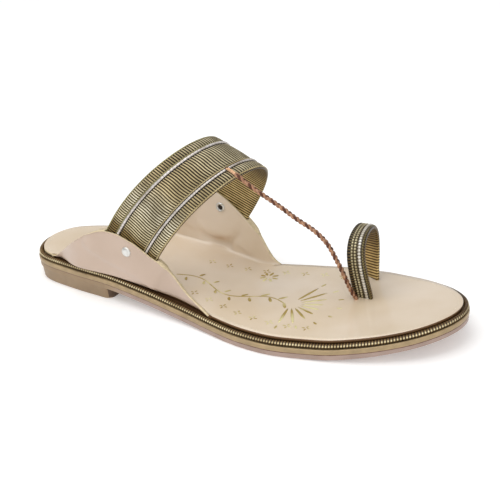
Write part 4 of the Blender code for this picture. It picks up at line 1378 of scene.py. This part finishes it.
class SLIPPER_OT_thong(bpy.types.Operator):
    """Thong plaited of three strands, wrapped round the band's front strip and knotted at its edge"""
    bl_idname = "slipper.thong"
    bl_label = "Thong"

    def execute(self, context):
        look = context.scene.slipper_sole
        copper = twisted_strand("copper_strand", opaque(look.copper))
        dark = twisted_strand("red_brown_strand", opaque(look.copper_dark))
        pale = twisted_strand("pale_copper_strand", opaque(look.copper_pale))
        # The wrap's lighter copper is a painted highlight.
        painted_highlight = twisted_strand("copper_wrap_painted_highlight", opaque(look.copper_highlight))
        line, at, on_band = thong_line(THONG_STEP)
        path = line_path(line)
        plait = Path(*(part[at >= on_band - KNOT / 2] for part in path))
        phase = 2 * np.pi * np.arange(len(plait.points)) * THONG_STEP / PLAIT_PERIOD
        for index, (name, surface) in enumerate((("thong_plait", copper), ("thong_dark_strand", dark),
                                                 ("thong_pale_strand", pale))):
            turn = phase + 2 * np.pi * index / 3
            strand = moved(plait, STRAND_SWING * np.sin(turn), STRAND_RISE * np.sin(2 * turn))
            node = "thong" if index == 0 else None
            settle(cord(name, strand, STRAND / 2), node, "copper_braid", surface)
        wrap = Path(*(part[at <= on_band] for part in path))
        for name, side in (("thong_wrap_rear", -1), ("thong_wrap_front", 1)):
            strand = moved(wrap, side * WRAP_STRAND / 2, 0 * wrap.points[:, 0])
            settle(cord(name, strand, WRAP_STRAND / 2), None, "copper_braid", painted_highlight)
        index = np.searchsorted(at, on_band)
        # The first dark bead, at the wrap's start, is painted shade in the hole the thong comes out of;
        # the other two are the knot at the band's front edge.
        knot_path = Path(*(part[[0, index - 2, index + 2]] for part in path))
        knots_and_hole = spread("thong_knots_and_hole_shade", turn_of(0.6 * KNOT, KNOT, 0.7 * KNOT, 12, 8), knot_path)
        settle(knots_and_hole, None, "copper_braid", fibrous_matte("dark_knots_and_hole_shade", opaque(look.knots_and_hole)))
        return {'FINISHED'}


# Shares of the rivet head's radius and of its dome's height, from the middle outwards
RIVET_CAP = (
    (0.0, 0.92),
    (0.25, 1.0),
    (0.6, 0.9),
    (0.85, 0.62),
    (0.96, 0.3),
    (1.0, 0.0),
)
RIVET_SIDES = 32
BORE_OUT = 0.12 * MM
METAL_FACE, BORE_FACE = range(2)


class SLIPPER_OT_rivets(bpy.types.Operator):
    """Tubular rivets that hold the band's ends: a domed head outside, a rolled eyelet inside"""
    bl_idname = "slipper.rivets"
    bl_label = "Rivets"

    def execute(self, context):
        metal = polished_metal("nickel_plate", srgb("#f0f0ec"))
        bore = fibrous_matte("rivet_bore_painted_shade", srgb("#2a2018"))
        wall = POCKET_THICKNESS / 2
        head, hole = RIVET_HEAD / 2, RIVET_BORE / 2
        roll = (head - hole) / 2
        profile = [(head * radius, wall + RIVET_DOME * height) for radius, height in RIVET_CAP]
        profile.append((head * 0.9, 0))
        for angle in np.linspace(0, math.pi, 9):
            profile.append((hole + roll + roll * math.cos(angle), -wall - RIVET_FLANGE * math.sin(angle)))
        metal_rows = len(profile) - 1
        # A dark disc closes the bore: painted shade inside the hole.
        profile += [(hole * 0.98, -wall - BORE_OUT), (0, -wall - BORE_OUT)]
        angle = np.linspace(0, 2 * np.pi, RIVET_SIDES + 1)
        faces = np.where(np.arange(len(profile) - 1) < metal_rows, METAL_FACE, BORE_FACE)[:, None]
        for wing, node in ((WINGS[LATERAL], "rivet_lateral"), (WINGS[MEDIAL], "rivet_medial")):
            centre = band_point(band_end(wing), 0.0, 0.0) - band_up() * RIVET_DEPTH
            radius, out = np.array(profile).T[..., None]
            points = centre + spot(radius * np.cos(angle), wing.side * out, radius * np.sin(angle))
            settle(skin(node + "_turned", points, faces, closed=True), node, "silver_metal", metal, bore)
        return {'FINISHED'}


# Foil print: a wavy leafy stem up the middle, a fan of long leaves, a rosette and rows of small marks
STEM_START, STEM_END = 92 * MM, 158 * MM
STEM_ACROSS = -10 * MM
STEM_SWAY = 4 * MM
STEM_WAVES = 1.5
STEM_LEAVES = 13
FAN_ALONG, FAN_ACROSS = 160 * MM, -8 * MM
FAN_LEAVES = 9
FAN_HALF_ANGLE = 78 * DEGREE
ROSETTE_ALONG, ROSETTE_ACROSS = 134 * MM, 14 * MM
ROSETTE_PETALS = 8
EDGE_MARKS = 9
EDGE_MARK_START, EDGE_MARK_STEP, EDGE_MARK_INSET = 100 * MM, 10 * MM, 12 * MM
STEM_LEAF_ANGLE = 52 * DEGREE
# Leaves of each motif: gap from its middle, length, and width in strokes
LEAVES = {
    "stem": (0.6 * MM, 5.5 * MM, 2.2),
    "fan": (5 * MM, 17 * MM, 2.0),
    "fan_tips": (24 * MM, 4 * MM, 1.6),
    "rosette": (1.4 * MM, 4.5 * MM, 2.0),
    "edge": (0.4 * MM, 2.2 * MM, 1.2),
}
FOIL = 0.10 * MM
Mark = namedtuple("Mark", "along across angle length width")


def on_footbed(x, y):
    return spot(x, y, ground(x) + LEATHER_TOP)


def stem_across(x):
    share = (x - STEM_START) / (STEM_END - STEM_START)
    return STEM_ACROSS + STEM_SWAY * np.sin(2 * np.pi * STEM_WAVES * share)


def leaves_round(along, across, start, end, count, motif, stroke):
    """Marks that point away from a middle, from one angle to another."""
    near, size, strokes = LEAVES[motif]
    marks = []
    for angle in np.linspace(start, end, count):
        reach = near + size / 2
        x, y = along + reach * math.cos(angle), across + reach * math.sin(angle)
        marks.append(Mark(x, y, angle, size, strokes * stroke))
    return marks


def print_marks(stroke):
    marks = []
    for index, x in enumerate(np.linspace(STEM_START + 4 * MM, STEM_END - 2 * MM, STEM_LEAVES)):
        angle = STEM_LEAF_ANGLE if index % 2 else -STEM_LEAF_ANGLE
        marks += leaves_round(x, stem_across(x), angle, angle, 1, "stem", stroke)
    fan = (FAN_ALONG, FAN_ACROSS, -FAN_HALF_ANGLE, FAN_HALF_ANGLE)
    marks += leaves_round(*fan, FAN_LEAVES, "fan", stroke)
    marks += leaves_round(*fan, FAN_LEAVES - 1, "fan_tips", stroke)
    full = 2 * math.pi * (1 - 1 / ROSETTE_PETALS)
    marks += leaves_round(ROSETTE_ALONG, ROSETTE_ACROSS, 0, full, ROSETTE_PETALS, "rosette", stroke)
    for side in (LATERAL, MEDIAL):
        for index in range(EDGE_MARKS):
            x = EDGE_MARK_START + EDGE_MARK_STEP * index
            y = edge(turn_at(x), side, LEATHER_INSET + EDGE_MARK_INSET)[1]
            marks += leaves_round(x, y, 0, 1.5 * math.pi, 4, "edge", stroke)
    return marks


class SLIPPER_OT_print(bpy.types.Operator):
    """Worn foil print on the footbed"""
    bl_idname = "slipper.print"
    bl_label = "Foil print"

    def execute(self, context):
        look = context.scene.slipper_print
        surface = foil("stamped_foil", opaque(look.pale), opaque(look.gold))
        marks = print_marks(look.stroke)
        along, across, angle, size, width = np.array(marks).T
        way = spot(np.cos(angle), np.sin(angle), 0)
        aside = spot(-np.sin(angle), np.cos(angle), 0)
        path = Path(on_footbed(along, across), way * size[:, None], aside * width[:, None],
                    spot(0 * angle, 0, 1))
        leaves = spread("foil_leaves", turn_of(1, 1, FOIL, 8, 4), path)
        settle(leaves, None, "nude_leather", surface)
        x = np.linspace(STEM_START, STEM_END, 90)
        stem = line_path(on_footbed(x, stem_across(x)))
        flat = stem._replace(up=stem.up * FOIL / look.stroke)
        settle(cord("foil_stem", flat, look.stroke / 2), None, "nude_leather", surface)
        return {'FINISHED'}


STITCH_INSET = 2.4 * MM
STITCH_WIDTH = 0.55 * MM
STITCH_HEIGHT = 0.3 * MM
# Wings lower than this still count as flat footbed
FLAT_HEIGHT = 0.05 * MM


class SLIPPER_OT_stitches(bpy.types.Operator):
    """Row of stitches inside the footbed's edge, where no wing rises from it"""
    bl_idname = "slipper.stitches"
    bl_label = "Stitches"

    def execute(self, context):
        look = context.scene.slipper_leather
        path = sole_path(LEATHER_INSET + STITCH_INSET, LEATHER_TOP, look.stitch_pitch)
        x, y = path.points[:, 0], path.points[:, 1]
        height = np.where(y < 0, wing_height(WINGS[LATERAL], x), wing_height(WINGS[MEDIAL], x))
        flat = Path(*(part[height < FLAT_HEIGHT] for part in path))
        stitches = spread("footbed_stitches", turn_of(look.stitch, STITCH_WIDTH, STITCH_HEIGHT), flat)
        settle(stitches, None, "nude_leather", stitch_thread("waxed_thread", opaque(look.thread)))
        return {'FINISHED'}


class SLIPPER_OT_stage(bpy.types.Operator):
    """Pale floor, soft lights and the photograph's view"""
    bl_idname = "slipper.stage"
    bl_label = "Stage"

    def execute(self, context):
        look = context.scene.slipper_stage
        bpy.ops.object.select_all(action='DESELECT')
        bpy.ops.mesh.primitive_plane_add(size=6)
        floor = bpy.context.active_object
        floor.name = "floor"
        floor.data.materials.append(studio_paper("studio_paper", opaque(look.floor), look.glow))

        world = bpy.data.worlds.new("studio")
        world.use_nodes = True
        sky = world.node_tree.nodes["Background"]
        sky.inputs["Color"].default_value = (1, 1, 1, 1)
        sky.inputs["Strength"].default_value = look.sky
        context.scene.world = world
        context.scene.view_settings.view_transform = 'Standard'

        for name, place, size, energy in (
            ("key", KEY_PLACE, KEY_SIZE, look.key),
            ("fill", FILL_PLACE, FILL_SIZE, look.fill),
            ("rim", RIM_PLACE, RIM_SIZE, look.rim),
        ):
            bpy.ops.object.select_all(action='DESELECT')
            bpy.ops.object.light_add(type='AREA', location=place)
            light = bpy.context.active_object
            light.name = name
            light.data.size = size
            light.data.energy = energy
            light.rotation_euler = (-Vector(place)).to_track_quat('-Z', 'Y').to_euler()

        azimuth, elevation, roll = VIEW_AZIMUTH, VIEW_ELEVATION, VIEW_ROLL
        back = np.array((math.sin(azimuth) * math.cos(elevation),
                         -math.cos(azimuth) * math.cos(elevation), math.sin(elevation)))
        level = np.array((math.cos(azimuth), math.sin(azimuth), 0))
        upright = np.cross(back, level)
        right = level * math.cos(roll) + upright * math.sin(roll)
        up = upright * math.cos(roll) - level * math.sin(roll)
        target = np.array((LENGTH / 2, 0, VIEW_HEIGHT)) + SHIFT
        place = target + back * VIEW_DISTANCE + right * VIEW_ASIDE + up * VIEW_UP
        bpy.ops.object.camera_add()
        camera = bpy.context.active_object
        camera.name = "view"
        axes = Matrix([right, up, back]).transposed().to_4x4()
        camera.matrix_world = Matrix.Translation(Vector(place)) @ axes
        camera.data.sensor_width = SENSOR
        camera.data.lens = FOCAL_PIXELS * SENSOR / IMAGE
        context.scene.camera = camera
        return {'FINISHED'}


OPERATORS = (
    SLIPPER_OT_sole,
    SLIPPER_OT_piping,
    SLIPPER_OT_leather,
    SLIPPER_OT_band,
    SLIPPER_OT_loop,
    SLIPPER_OT_thong,
    SLIPPER_OT_rivets,
    SLIPPER_OT_print,
    SLIPPER_OT_stitches,
    SLIPPER_OT_stage,
)
GROUPS = {
    "slipper_ribs": SlipperRibs,
    "slipper_leather": SlipperLeather,
    "slipper_sole": SlipperSole,
    "slipper_print": SlipperPrint,
    "slipper_stage": SlipperStage,
}


class SLIPPER_PT_panel(bpy.types.Panel):
    """Lists the slipper's pieces, sizes and colours"""
    bl_idname = "SLIPPER_PT_panel"
    bl_label = "Toe-loop slipper"
    bl_space_type = 'VIEW_3D'
    bl_region_type = 'UI'
    bl_category = "Slipper"

    def draw(self, context):
        for operator in OPERATORS:
            self.layout.operator(operator.bl_idname)
        for name, group in GROUPS.items():
            box = self.layout.box()
            for setting in group.__annotations__:
                box.prop(getattr(context.scene, name), setting)


CLASSES = (*GROUPS.values(), *OPERATORS, SLIPPER_PT_panel)


def register():
    for made in CLASSES:
        bpy.utils.register_class(made)
    for name, group in GROUPS.items():
        setattr(bpy.types.Scene, name, PointerProperty(type=group))


def unregister():
    for name in GROUPS:
        delattr(bpy.types.Scene, name)
    for made in reversed(CLASSES):
        bpy.utils.unregister_class(made)


def main():
    register()
    bpy.ops.slipper.sole()
    bpy.ops.slipper.piping()
    bpy.ops.slipper.leather()
    bpy.ops.slipper.band()
    bpy.ops.slipper.loop()
    bpy.ops.slipper.thong()
    bpy.ops.slipper.rivets()
    bpy.ops.slipper.print()
    bpy.ops.slipper.stitches()
    bpy.ops.slipper.stage()


if __name__ == "__main__":
    main()
